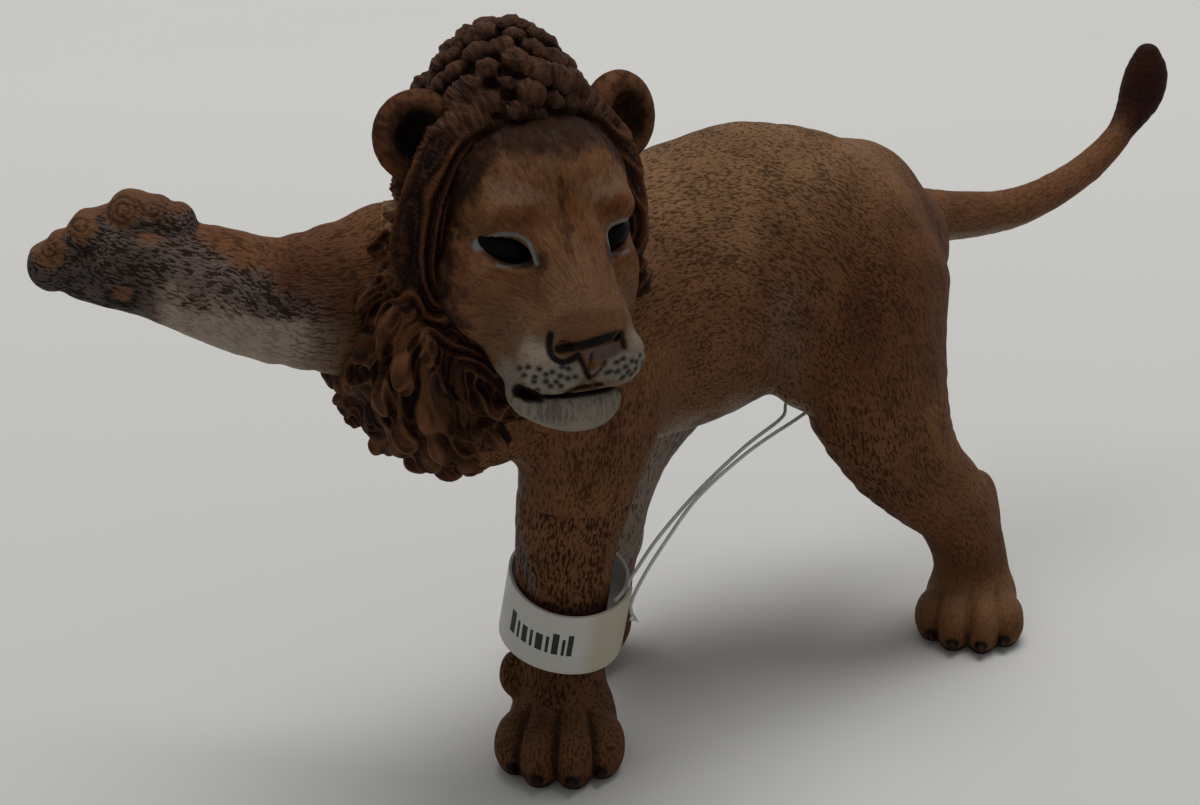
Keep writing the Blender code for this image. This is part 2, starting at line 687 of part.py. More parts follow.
def make_thread(axis_frame):
    """The nylon loop: out of the hole, back under the body to a wide bend, and home to the strip's edge."""
    clear = BAND_THICKNESS / 2 + SEAM_GAP
    hole = axis_frame @ hole_frame()
    start = [hole @ Vector((0, 0, clear)), hole @ Vector((0, 0, clear + 2 * THREAD_DIAMETER))]
    top = BAND_WIDTH / 2 + SEAM_GAP
    home = [
        axis_frame @ band_point(FULL_TURN + BAND_HOLE_TURN, -clear / 2, top + 2 * THREAD_DIAMETER),
        axis_frame @ band_point(FULL_TURN + BAND_HOLE_TURN, -clear / 2, top),
    ]
    route = start + [body_point(share) for share in THREAD_ROUTE_SHARES] + home
    curve = bpy.data.curves.new("tag_thread", "CURVE")
    curve.dimensions = "3D"
    curve.bevel_depth = THREAD_DIAMETER / 2
    curve.bevel_resolution = 2
    curve.use_fill_caps = True
    points = smooth_route(route, THREAD_POINTS)
    spline = curve.splines.new("POLY")
    spline.points.add(len(points) - 1)
    for point, place in zip(spline.points, points):
        point.co = (*(axis_frame.inverted() @ place), 1)
    thread = bpy.data.objects.new("tag_thread", curve)
    bpy.context.scene.collection.objects.link(thread)
    return thread


def empty(name, frame, parent=None):
    obj = bpy.data.objects.new(name, None)
    bpy.context.scene.collection.objects.link(obj)
    obj.parent = parent
    obj.matrix_local = frame
    return obj


def seat(obj, place, parent):
    """Hang the piece on its parent with its own origin at the place where it joins, smooth to look at."""
    obj.data.transform(Matrix.Translation(-place))
    obj.data.shade_smooth()
    obj.parent = parent
    obj.location = place


def under_the_middle(pieces):
    """The shift that stands the middle of the pieces' box on the origin."""
    places = [vert.co for obj in pieces for vert in obj.data.vertices]
    low = Vector([min(place[axis] for place in places) for axis in range(3)])
    high = Vector([max(place[axis] for place in places) for axis in range(3)])
    return Matrix.Translation((-(low.x + high.x) / 2, -(low.y + high.y) / 2, -low.z))


def build():
    clear_scene()
    torso = moulded(body_form(), "torso", SKIN_STEP, ROUNDING["skin"], FACES["skin"])
    wide = 2 * BODY_LENGTH
    ground = helper_box("ground", Matrix.Identity(4), wide, wide, -OVERRUN, 0)
    boolean(torso, ground, "DIFFERENCE")
    under_mane = moulded(
        head_form(body_form()), "under_mane", SKIN_STEP, ROUNDING["head"], FACES["under_mane"],
        MANE_GAP, True,
    )
    head_space = moulded(
        head_form(bmesh.new()), "head_space", SKIN_STEP, ROUNDING["head"], FACES["cutter"],
        MANE_GAP, True,
    )
    head = moulded(head_form(bmesh.new()), "head", SKIN_STEP, ROUNDING["head"], FACES["head"])
    mane = moulded(mane_form(), "mane", CURL_STEP, ROUNDING["mane"], FACES["mane"])
    boolean(mane, under_mane, "DIFFERENCE")
    keep_largest(mane)
    boolean(torso, head_space, "DIFFERENCE")
    limbs = [split_limb(torso, limb) for limb in SEAM_SHARES]
    keep_largest(torso)
    hollow_ears(head)
    coat = painted("painted_coat")
    for obj in [torso, head, *limbs]:
        obj.data.materials.append(coat)
    mane.data.materials.append(painted("painted_mane"))
    band = make_band()
    thread = make_thread(band_frame())
    band.data.materials.append(painted("white_strip"))
    thread.data.materials.append(painted("clear_nylon"))
    figure = empty("figure", under_the_middle([torso, head, mane, *limbs]))
    axis = empty("tag_axis", band_frame(), figure)
    for obj in (band, thread):
        obj.parent = axis
    seat(torso, Vector(), figure)
    for obj in (head, mane):
        seat(obj, HEAD_FRAME.to_translation(), figure)
    for obj in limbs:
        seat(obj, seam_frame(obj.name).to_translation(), figure)


build()
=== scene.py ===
"""A painted toy lion with one forepaw raised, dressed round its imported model: engraved fur, painted
coat, curled mane, glossy eyes, and a plastic tag strip with its nylon loop."""

import math
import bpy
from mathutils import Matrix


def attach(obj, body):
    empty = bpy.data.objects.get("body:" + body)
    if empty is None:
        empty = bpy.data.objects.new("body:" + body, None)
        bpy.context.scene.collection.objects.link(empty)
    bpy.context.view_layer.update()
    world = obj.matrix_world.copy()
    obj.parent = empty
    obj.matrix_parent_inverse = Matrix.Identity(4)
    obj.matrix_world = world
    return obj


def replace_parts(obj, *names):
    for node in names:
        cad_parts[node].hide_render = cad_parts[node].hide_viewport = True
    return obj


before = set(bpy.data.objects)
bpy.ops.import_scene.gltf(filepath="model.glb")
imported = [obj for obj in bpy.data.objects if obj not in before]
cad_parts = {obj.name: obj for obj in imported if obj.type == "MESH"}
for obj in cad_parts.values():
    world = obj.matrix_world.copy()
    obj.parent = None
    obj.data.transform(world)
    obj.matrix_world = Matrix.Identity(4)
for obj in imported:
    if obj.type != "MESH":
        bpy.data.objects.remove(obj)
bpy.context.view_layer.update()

from concurrent.futures import ThreadPoolExecutor

import bmesh
import bpy
import numpy as np
from mathutils import Matrix, Vector
from mathutils.kdtree import KDTree

# Lengths are in millimetres up to the moment a mesh is made. Only the nylon's diameter, the strip's soft
# edge, the lens's nearest distance and the stage are in metres. The lion has its own origin on the floor
# under its chest, faces -Y and has its left side at +X. FIGURE_AT is that origin in the frame.
MM = 0.001
FIGURE_AT = np.array((3.859, -21.220, 0.0))
TORSO_STEP = 0.33
LIMB_STEP = 0.24
HEAD_STEP = 0.20
MANE_STEP = 0.24
FAR = 6.0
REACH = 3.5
WORKERS = 4
CHUNK = 60000
CLOSE_SHARE = 1.35


def unit(ways):
    return ways / np.linalg.norm(ways, axis=-1, keepdims=True)


def square_to(way, axis):
    """The unit direction nearest to way that is square to the axis."""
    return unit(way - (way @ axis) * axis)


def turned(z_degrees=0.0, x_degrees=0.0, y_degrees=0.0):
    turn = Matrix.Identity(3)
    for degrees, axis in ((z_degrees, "Z"), (x_degrees, "X"), (y_degrees, "Y")):
        turn = turn @ Matrix.Rotation(math.radians(degrees), 3, axis)
    return np.array(turn)


HEAD_AT = np.array((4.32, -19.01, 62.02))
HEAD_TURN = turned(66, 2)

# The view: a long lens, kept level, looking down on the lion from ahead of its left side.
VIEW_AZIMUTH, VIEW_ELEVATION, VIEW_DISTANCE = math.radians(45), math.radians(22), 248.0
VIEW_TARGET = np.array((-5.0, 0.0, 35.0))
VIEW_BACK = np.array((
    math.sin(VIEW_AZIMUTH) * math.cos(VIEW_ELEVATION),
    -math.cos(VIEW_AZIMUTH) * math.cos(VIEW_ELEVATION),
    math.sin(VIEW_ELEVATION),
))
VIEW_RIGHT = np.array((math.cos(VIEW_AZIMUTH), math.sin(VIEW_AZIMUTH), 0.0))
VIEW_UP = np.cross(VIEW_BACK, VIEW_RIGHT)
LENS, SENSOR, NEAREST_SEEN = 70.5, 36, 0.01
SHEET = (1200, 805)


def put(name, data, spot=(0, 0, 0), aim=None):
    """A new object in the scene. With an aim, it looks from its spot towards that."""
    made = bpy.data.objects.new(name, data)
    bpy.context.scene.collection.objects.link(made)
    made.location = spot
    if aim is not None:
        made.rotation_mode = "QUATERNION"
        made.rotation_quaternion = (Vector(aim) - Vector(spot)).to_track_quat("-Z", "Y")
    return made


def place_camera():
    lens = bpy.data.cameras.new("camera")
    lens.lens = LENS
    lens.sensor_width = SENSOR
    lens.clip_start = NEAREST_SEEN
    target = FIGURE_AT + VIEW_TARGET
    spot = target + VIEW_DISTANCE * VIEW_BACK
    bpy.context.scene.camera = put("camera", lens, spot * MM, target * MM)


def on_sheet(points):
    """Places on a sheet that faces this view, 1200 across and 805 down, where paint is laid out."""
    off = points - VIEW_TARGET - VIEW_DISTANCE * VIEW_BACK
    scale = SHEET[0] * LENS / SENSOR / -(off @ VIEW_BACK)
    return np.stack([SHEET[0] / 2 + scale * (off @ VIEW_RIGHT), SHEET[1] / 2 - scale * (off @ VIEW_UP)], 1)


def stroke(place, rows, width):
    """From 1 on a brush stroke through rows of the sheet to 0 beside it."""
    gap = np.min([np.hypot(*(place - spot).T) for spot in eased(rows, 8)], axis=0)
    return 1 - ramp(gap, width / 2 - 1.3, width / 2 + 1.3)


def patch(place, middle, size, soft=0.35, tilt=0.0):
    """From 1 in an oval patch of the sheet to 0 round it. Tilt is in degrees, down to the right."""
    off = place - middle
    turn = math.radians(tilt)
    along = off[:, 0] * math.cos(turn) + off[:, 1] * math.sin(turn)
    across = off[:, 1] * math.cos(turn) - off[:, 0] * math.sin(turn)
    return 1 - ramp(np.hypot(along / size[0], across / size[1]), 1 - soft, 1 + soft)


def patches(place, rows):
    """The strongest of several patches at each place: each row is a strength, then what patch takes."""
    return np.maximum.reduce([strength * patch(place, *row) for strength, *row in rows])


# Forms. Each is (distance function, middle, reach, blend, sign): sign -1 carves instead of adding.
def oval_distance(q, radii):
    """About how far places measured from an oval's middle along its axes lie outside it."""
    q = q / radii
    near = np.sqrt(np.einsum("ij,ij->i", q, q))
    q = q / radii
    steep = np.sqrt(np.einsum("ij,ij->i", q, q))
    return near * (near - 1) / np.maximum(steep, 1e-5)


def oval(centre, radii, turn=None, blend=1.2, sign=1):
    centre = np.array(centre, np.float32)
    radii = np.array(radii, np.float32)
    turn = np.eye(3, dtype=np.float32) if turn is None else turn.astype(np.float32)
    return lambda p: oval_distance((p - centre) @ turn, radii), centre, float(radii.max()), blend, sign


def eased(rows, steps=3):
    """The rows with even steps between them on a Catmull-Rom curve."""
    rows = np.array(rows, float)
    padded = np.vstack([rows[:1], rows, rows[-1:]])
    out = []
    for a, b, c, d in zip(padded, padded[1:], padded[2:], padded[3:]):
        for t in np.arange(steps) / steps:
            out.append(0.5 * (2 * b + (c - a) * t + (2 * a - 5 * b + 4 * c - d) * t**2
                              + (3 * b - a - 3 * c + d) * t**3))
    return np.array(out + [rows[-1]])


def limb(rows, blend=1.2):
    """A tapered round form along rows of x, y, z, half width from side to side and half depth."""
    rows = eased([(*row[:3], row[3], row[-1]) for row in rows])
    places, halves = rows[:, :3], rows[:, 3:]
    pieces = []
    for start, end, near, far in zip(places, places[1:], halves, halves[1:]):
        along = unit(end - start)
        across = square_to(np.array((1.0, 0.0, 0.0)), along)
        axes = np.stack([across, np.cross(along, across), along], 1)
        bound = (np.linalg.norm(end - start) / 2 + max(near.max(), far.max()) + REACH) ** 2
        parts = ((start + end) / 2, start, end - start, axes, near, far)
        pieces.append((float(bound), *(part.astype(np.float32) for part in parts)))

    def distance(p):
        best = np.full(len(p), FAR, np.float32)
        for bound, centre, start, run, axes, near, far in pieces:
            o = p - centre
            here = np.flatnonzero(np.einsum("ij,ij->i", o, o) < bound)
            if len(here):
                o = p[here] - start
                t = np.clip(o @ run / (run @ run), 0, 1)[:, None]
                wide, deep = (near + t * (far - near)).T
                radii = np.stack([wide, deep, np.minimum(wide, deep)], 1)
                best[here] = np.minimum(best[here], oval_distance((o - t * run) @ axes, radii))
        return best

    middle = (places.min(0) + places.max(0)) / 2
    reach = np.linalg.norm(places - middle, axis=1).max() + halves.max()
    return distance, middle.astype(np.float32), float(reach), blend, 1


def soft_min(a, b, blend):
    share = np.clip(0.5 + 0.5 * (b - a) / blend, 0, 1)
    return b + (a - b) * share - blend * share * (1 - share)


def joined(forms):
    """One smooth field over all the forms. It holds near its surface, which is all that is used."""
    def field(p):
        p = p.astype(np.float32)
        value = np.full(len(p), FAR, np.float32)
        for distance, middle, reach, blend, sign in forms:
            off = p - middle
            near = np.flatnonzero(np.einsum("ij,ij->i", off, off) < (reach + REACH) ** 2)
            if len(near):
                value[near] = sign * soft_min(sign * value[near], distance(p[near]), blend)
        return value

    return field


CORNERS = np.array(list(np.ndindex(2, 2, 2)))
EDGES = [(a, b) for a in range(8) for b in range(a + 1, 8) if np.abs(CORNERS[a] - CORNERS[b]).sum() == 1]


def evaluate(field, points):
    """The field at many points, shared between the workers."""
    parts = np.array_split(points, max(1, len(points) // CHUNK))
    with ThreadPoolExecutor(WORKERS) as pool:
        return np.concatenate(list(pool.map(field, parts)))


def normals_of(points, faces):
    """Outward unit direction at each point of a skin of four-cornered faces."""
    corners = points[faces]
    ways = np.cross(corners[:, 2] - corners[:, 0], corners[:, 3] - corners[:, 1])
    total = np.zeros((len(points), 3))
    for axis in range(3):
        for corner in range(4):
            total[:, axis] += np.bincount(faces[:, corner], ways[:, axis], len(points))
    return total / np.maximum(np.linalg.norm(total, axis=1), 1e-12)[:, None]


def window(values, start, shape, stride=1):
    """A view of the grid's values from start on, as many as shape says, with this stride."""
    return values[tuple(slice(first, first + stride * count, stride) for first, count in zip(start, shape))]


def halved(values, low, size, field):
    """The values on a grid of half the size, worked out again only in cells near the surface."""
    close = np.abs(values) < size * CLOSE_SHARE
    shape = np.array(values.shape) - 1
    cells = np.logical_or.reduce([window(close, corner, shape) for corner in CORNERS])
    fine = values
    for axis in range(3):
        fine = np.repeat(fine, 2, axis=axis)
    fine = np.ascontiguousarray(fine[:-1, :-1, :-1])
    wanted = np.zeros(fine.shape, bool)
    for start in np.ndindex(3, 3, 3):
        window(wanted, start, shape, 2)[...] |= cells
    fine[wanted] = evaluate(field, low + np.argwhere(wanted) * (size / 2))
    return fine


def skin_over(field, low, high, step):
    """Points, four-cornered faces and normals where the field is zero, on a grid that is fine near it."""
    low, high = np.array(low, float), np.array(high, float)
    counts = np.ceil((high - low) / (step * 4)).astype(int) + 1
    fine = evaluate(field, low + np.argwhere(np.ones(counts)) * step * 4).reshape(counts)
    fine = halved(halved(fine, low, step * 4, field), low, step * 2, field)
    inside = fine < 0
    shape = np.array(fine.shape) - 1
    count = sum(window(inside, corner, shape).astype(np.int8) for corner in CORNERS)
    active = np.argwhere((count > 0) & (count < 8))
    values = np.stack([fine[tuple((active + corner).T)] for corner in CORNERS], 1)
    total = np.zeros((len(active), 3))
    hits = np.zeros(len(active))
    for a, b in EDGES:
        crossed = (values[:, a] < 0) != (values[:, b] < 0)
        share = np.where(crossed, values[:, a] / np.where(crossed, values[:, a] - values[:, b], 1), 0)
        total += crossed[:, None] * (CORNERS[a] + share[:, None] * (CORNERS[b] - CORNERS[a]))
        hits += crossed
    points = low + (active + total / hits[:, None]) * step
    ids = np.full(shape, -1, np.int32)
    ids[tuple(active.T)] = np.arange(len(active))
    faces = []
    for axis in range(3):
        others = [(axis + 1) % 3, (axis + 2) % 3]
        start = np.argwhere(np.diff(inside, axis=axis))
        start = start[((start[:, others] > 0) & (start[:, others] < shape[others])).all(1)]
        square = []
        for back in ((1, 1), (0, 1), (0, 0), (1, 0)):
            cell = start.copy()
            cell[:, others] -= back
            square.append(ids[tuple(cell.T)])
        square = np.stack(square, 1)
        leaving = inside[tuple(start.T)]
        faces.append(np.where(leaving[:, None], square, square[:, ::-1]))
    faces = np.concatenate(faces)
    for _ in range(2):
        off = np.clip(evaluate(field, points), -step / 2, step / 2)
        points = points - normals_of(points, faces) * off[:, None]
    return largest(points, faces, normals_of(points, faces))


def largest(points, faces, normals):
    """Drops loose crumbs: keeps the faces that hang together with most of the others."""
    label = np.arange(len(points))
    while True:
        lowest = label[faces].min(1)
        fresh = label.copy()
        for corner in range(4):
            np.minimum.at(fresh, faces[:, corner], lowest)
        fresh = fresh[fresh]
        if (fresh == label).all():
            break
        label = fresh
    names, counts = np.unique(label, return_counts=True)
    keep = label == names[counts.argmax()]
    index = np.cumsum(keep) - 1
    return points[keep], index[faces[keep[faces[:, 0]]]], normals[keep]


# Small noise kit: values that change smoothly over space, the same on each run.
def scramble(cells, salt):
    """A number from 0 to 1 for each whole-number cell."""
    x, y, z = cells.astype(np.int64).T
    mixed = x * 73856093 ^ y * 19349663 ^ z * 83492791 ^ (salt * 2654435761)
    for shift, factor in ((13, 1274126177), (16, 2246822519)):
        mixed = (mixed ^ (mixed >> shift)) * factor & 0xFFFFFFFF
    return (mixed ^ (mixed >> 15)) % 65536 / 65535.0


def smooth_noise(p, size, salt=0):
    """From -1 to 1, with hills about size across."""
    q = p / size
    cell = np.floor(q).astype(int)
    t = q - cell
    t = t * t * (3 - 2 * t)
    value = np.zeros(len(p))
    for corner in CORNERS:
        weight = np.prod(np.where(corner, t, 1 - t), axis=1)
        value += weight * scramble(cell + corner, salt)
    return 2 * value - 1


def noises(p, size, *salts):
    return np.stack([smooth_noise(p, size, salt) for salt in salts], 1)


def ramp(value, low, high):
    t = np.clip((value - low) / (high - low), 0, 1)
    return t * t * (3 - 2 * t)


# The animal's forms, in millimetres from its own origin: x, y, z, half width, half depth.
TORSO = (
    (0.0, -24.8, 50.6, 4.8, 6.4), (1.0, -20.2, 48.8, 7.9, 9.9), (0.5, -11.5, 48.0, 11.2, 14.3),
    (0.0, 0.0, 47.5, 11.4, 14.7), (0.0, 10.1, 47.6, 10.8, 15.4), (0.0, 19.4, 48.0, 10.9, 14.3),
    (0.0, 27.4, 47.2, 10.9, 12.3), (0.0, 34.6, 45.4, 10.0, 10.4), (0.0, 40.0, 44.2, 7.9, 8.0),
)
NECK = ((0.0, -7.9, 50.6, 10.5, 11.8), (0.7, -13.0, 55.0, 9.7, 10.1), (1.9, -16.2, 58.9, 8.4, 8.8))
MUSCLES = (
    ((5.8, -11.9, 43.5), (6.0, 8.3, 11.5)), ((-5.8, -15.8, 48.6), (6.0, 7.9, 9.6)),
    ((5.8, 28.8, 44.2), (6.5, 9.7, 12.2)), ((-5.8, 28.1, 44.2), (6.5, 9.7, 12.2)),
    ((7.2, 21.6, 37.8), (3.4, 7.9, 5.8)), ((0.0, 14.4, 58.9), (4.8, 7.9, 4.0)),
    ((1.4, -22.3, 43.5), (5.3, 4.7, 6.7)), ((-7.4, -25.5, 57.6), (4.6, 5.6, 4.4)),
    ((0.0, 34.2, 50.6), (6.5, 8.5, 6.9)),
)
LEFT_FORELEG = (
    (6.7, -11.9, 44.8, 6.5, 7.6), (5.3, -12.8, 35.8, 6.1, 6.3), (3.4, -12.8, 28.2, 5.4, 5.6),
    (1.7, -12.1, 19.2, 4.7, 4.8), (0.5, -11.1, 11.5, 4.3, 4.4), (0.0, -10.4, 5.8, 4.6, 4.6),
)
LEFT_HIND_LEG = (
    (7.7, 30.2, 44.8, 6.3, 10.3), (9.6, 27.7, 35.8, 5.9, 10.5), (11.0, 29.9, 27.5, 5.2, 7.8),
    (12.0, 33.5, 21.8, 4.7, 5.9), (12.7, 39.2, 16.3, 4.3, 5.0), (13.0, 42.5, 10.2, 4.0, 4.5),
    (13.2, 43.6, 5.1, 4.4, 4.4),
)
RIGHT_HIND_LEG = (
    (-7.7, 30.2, 44.8, 6.5, 10.5), (-10.1, 19.4, 35.8, 5.9, 9.0), (-11.0, 11.5, 28.2, 5.2, 6.9),
    (-11.8, 8.6, 21.1, 4.6, 5.4), (-12.5, 8.3, 14.7, 4.2, 4.4), (-13.0, 7.6, 9.6, 4.0, 4.0),
    (-13.2, 6.8, 5.1, 4.4, 4.2),
)
RAISED_LEG = (
    (-5.3, -19.4, 51.2, 7.3, 7.9), (-8.2, -28.1, 53.0, 6.6, 7.9), (-12.0, -36.0, 53.6, 5.7, 6.0),
    (-16.8, -40.7, 55.6, 4.8, 5.4), (-22.1, -45.4, 57.5, 4.4, 4.4),
)
TAIL = (
    (0.0, 41.0, 47.7, 3.84), (0.0, 49.0, 45.8, 3.12), (0.0, 61.2, 43.5, 2.52), (0.0, 69.8, 43.1, 2.22),
    (0.0, 79.2, 44.4, 1.98), (0.0, 85.7, 46.7, 1.74), (0.0, 89.9, 49.6, 1.6),
)
TUFT = ((0.0, 89.4, 49.3, 1.6), (0.0, 91.9, 51.7, 2.6), (0.0, 93.0, 54.5, 2.7), (0.0, 93.0, 57.1, 1.6))
# Toes and pad of a standing paw and of the raised one: middles and half sizes in shares of the paw's
# width, and how far each blends into the others.
PAW = (
    ((0.00, -0.12, 0.27), (0.42, 0.44, 0.34), 1.6), ((-0.33, -0.34, 0.20), (0.17, 0.25, 0.25), 0.7),
    ((-0.13, -0.49, 0.21), (0.165, 0.26, 0.28), 0.7), ((0.13, -0.49, 0.21), (0.165, 0.26, 0.28), 0.7),
    ((0.33, -0.34, 0.20), (0.17, 0.25, 0.25), 0.7),
)
RAISED_PAW = (
    ((0.00, 0.00, 0.02), (0.40, 0.30, 0.24), 1.8), ((-0.24, 0.02, 0.02), (0.30, 0.24, 0.22), 1.0),
    ((-0.53, -0.03, -0.06), (0.16, 0.18, 0.19), 0.6), ((-0.42, -0.10, -0.06), (0.15, 0.17, 0.19), 0.6),
    ((-0.22, -0.19, -0.07), (0.18, 0.19, 0.20), 0.6), ((0.08, -0.30, -0.08), (0.18, 0.19, 0.20), 0.6),
    ((0.24, -0.26, -0.06), (0.14, 0.17, 0.18), 0.6), ((0.39, -0.19, -0.06), (0.12, 0.17, 0.18), 0.5),
    ((-0.08, -0.23, -0.05), (0.15, 0.17, 0.18), 0.6), ((-0.05, 0.24, -0.12), (0.10, 0.08, 0.10), 0.4),
)
RAISED_SOLE, RAISED_TOES = np.array((0.62, -0.70, 0.30)), np.array((-0.20, 0.02, 1.00))
HOCKS = (((13.0, 43.9, 15.6), (1.9, 2.1, 3.3)), ((-12.9, 12.0, 13.2), (2.0, 2.0, 3.4)))
DEWCLAW = ((-3.36, -14.11, 8.64), (1.8, 1.8, 2.7))
CLAW_SIZE, CLAW_SHARE, CLAW_HEIGHT_SHARE = (0.55, 1.0, 0.6), 0.93, 0.115
FOREPAW_WIDTH, HIND_PAW_WIDTH = 13.7, 12.5
PAW_PLACES = {
    "left_foreleg": ((0.0, -10.4, 0.0), 40, FOREPAW_WIDTH),
    "left_hind_leg": ((13.2, 43.6, 0.0), 34, HIND_PAW_WIDTH),
    "right_hind_leg": ((-13.2, 6.8, 0.0), -8, HIND_PAW_WIDTH),
}
# Each limb's seam: a point on it, the way out of the torso, and the half sizes and reach of its space.
SEAMS = {
    "left_foreleg": ((4.3, -12.7, 32.0), (-0.08, 0.02, -1.0), (9.4, 14.4, 39.6)),
    "left_hind_leg": ((10.8, 30.2, 32.0), (0.0, 0.0, -1.0), (10.8, 25.9, 39.6)),
    "right_hind_leg": ((-10.8, 11.5, 32.0), (0.0, 0.0, -1.0), (10.8, 25.9, 39.6)),
    "right_foreleg": ((-8.2, -28.1, 52.9), (-0.6, -0.72, 0.16), (14.4, 14.4, 50.4)),
    "tail": ((0.0, 46.1, 46.2), (0.0, 1.0, -0.2), (7.2, 25.9, 64.8)),
}


def raised_paw_turn():
    """Axes of the raised paw: its toes run along -Y and its sole faces ahead and to the left."""
    sole = unit(RAISED_SOLE)
    toes = square_to(RAISED_TOES, sole)
    return np.stack([np.cross(toes, sole), -toes, -sole], 1)


def paw_forms(place, turn, width, rows):
    return [oval(place + turn @ (width * np.array(centre)), width * np.array(radii), turn, blend)
            for centre, radii, blend in rows]


def claw_places():
    """Where each standing toe ends in a claw, and the way that the claw points."""
    for place, degrees, width in PAW_PLACES.values():
        turn = turned(degrees)
        for (x, y, z), (_, length, _), _ in PAW[1:]:
            tip = np.array((x, y - CLAW_SHARE * length, CLAW_HEIGHT_SHARE))
            yield np.array(place) + turn @ (width * tip), turn


def body_forms():
    forms = [limb(TORSO, 1.5), limb(NECK, 1.6)]
    forms += [oval(centre, radii, blend=1.6) for centre, radii in MUSCLES]
    forms += [limb(rows, 1.6) for rows in (LEFT_FORELEG, LEFT_HIND_LEG, RIGHT_HIND_LEG, RAISED_LEG)]
    forms += [limb(TAIL, 1.4), limb(TUFT, 1.0)]
    forms += [oval(*hock, blend=2.0) for hock in HOCKS]
    for place, degrees, width in PAW_PLACES.values():
        forms += paw_forms(place, turned(degrees), width, PAW)
    forms.append(oval(*DEWCLAW, blend=0.7))
    forms += paw_forms(RAISED_LEG[-1][:3], raised_paw_turn(), FOREPAW_WIDTH, RAISED_PAW)
    return forms + [oval(place, CLAW_SIZE, turn, 0.15) for place, turn in claw_places()]


# The head's forms, from between its eyes: x to its left, y backwards, z up.
EYE_HOLE_AT, EYE_HOLE_SIZE = (5.2, -10.0, 0.3), (2.55, 1.9, 1.15)
MOUTH_AT, MOUTH_TURN = (0, -15.0, -11.9), turned(0, -13)
EAR_AT, EAR_HOLLOW_AT, EAR_HOLLOW_SIZE = (9.8, 1.8, 8.0), (-0.3, -1.9, 0.0), (2.1, 2.6, 2.5)


def beside(side, place):
    """The same place on the left side (1) or the right side (-1) of the head."""
    return np.array(place) * (side, 1, 1)


def eye_turn(side):
    """The eye's inner corner is lower than its outer one."""
    return turned(side * 34) @ np.array(Matrix.Rotation(math.radians(-side * 17), 3, "Y"))


def head_forms():
    forms = [
        oval((0, 1.2, 1.4), (9.7, 10.4, 9.8)),
        oval((0, -5.2, 4.6), (7.2, 5.2, 5.4), blend=3),
        oval((0, -7, -10.6), (6.0, 6.8, 4.0), blend=2),
    ]
    for s, tuck in ((1, 1.0), (-1, 0.0)):
        forms += [
            oval((s * (6.0 - tuck), -5.0, -4.4), (4.1 - 0.4 * tuck, 5.8, 5.2), blend=2.6),
            oval((s * 4.2, -8.2, 3.2), (3.0, 2.0, 1.8), turned(s * -22), 2.2),
            oval((s * (5.6 - tuck), -8.2, -2.2), (2.9 - 0.3 * tuck, 1.6, 1.4), turned(s * -30), 2.0),
            oval((s * 3.7, -9.3, -3.0), (2.3, 2.4, 3.0), blend=2.2),
        ]
    forms += [
        limb(((0, -7.0, 3.4, 3.6, 2.8), (0, -11.4, 0.4, 3.6, 2.7), (0, -15.6, -3.9, 3.4, 2.3)), 1.6),
        oval((0, -12.4, -6.8), (5.5, 5.2, 4.2), blend=1.8),
        oval((0, -13.6, -13.4), (4.1, 3.2, 2.6), blend=1.5),
        oval((-2.3, -11.2, -13.2), (3.4, 3.8, 2.4), blend=1.2),
        oval((1.2, -11.2, -13.2), (2.9, 3.8, 2.4), blend=1.2),
        oval((0, -16.8, -5.5), (2.9, 1.5, 1.6), blend=0.8),
        *(oval((s * 2.75, -14.6, -8.7), (3.2, 3.2, 2.9), blend=0.5) for s in (1, -1)),
        oval(MOUTH_AT, (5.4, 5.2, 0.15), MOUTH_TURN, 0.22, -1),
    ]
    for s in (1, -1):
        forms += [
            oval((s * 4.4, -13.1, -12.2), (1.1, 2.2, 0.6), turned(s * 40, -24), 0.3, -1),
            oval(beside(s, EYE_HOLE_AT), EYE_HOLE_SIZE, eye_turn(s), 0.35, -1),
            oval((s * 2.5, -17.5, -5.9), (0.7, 1.0, 0.35), turned(s * 25), 0.25, -1),
        ]
    forms.append(oval((0, -18.4, -8.3), (0.25, 2.0, 1.6), None, 0.35, -1))
    for s in (1, -1):
        turn, centre = ear_turn(s), beside(s, EAR_AT)
        forms += [
            oval(centre, (4.3, 2.3, 4.4), turn, 1.0),
            oval(centre + turn @ beside(s, EAR_HOLLOW_AT), EAR_HOLLOW_SIZE, turn, 0.9, -1),
            oval(centre + turn @ beside(s, (-1.6, 0.1, -1.6)), (1.0, 1.2, 1.6), turn, 0.8),
        ]
    return forms


def ear_turn(side):
    return turned(side * 24, -10)


def to_head(p):
    return (p - HEAD_AT) @ HEAD_TURN


def from_head(q):
    return HEAD_AT + q @ HEAD_TURN.T


# Curls of hair: their half sizes, how far they twist, in what rhythm, and how much their sizes vary.
CURL, ROUND_CURL = np.array((2.60, 1.43, 1.51)), np.array((1.75, 1.30, 1.45))
CURL_TWIST, CURL_RHYTHM, CURL_VARIETY = 0.7, 2.4, 0.14
GOLDEN_ANGLE = math.pi * (3 - math.sqrt(5))
FACE_WAY = HEAD_TURN @ np.array((0, -1, 0))


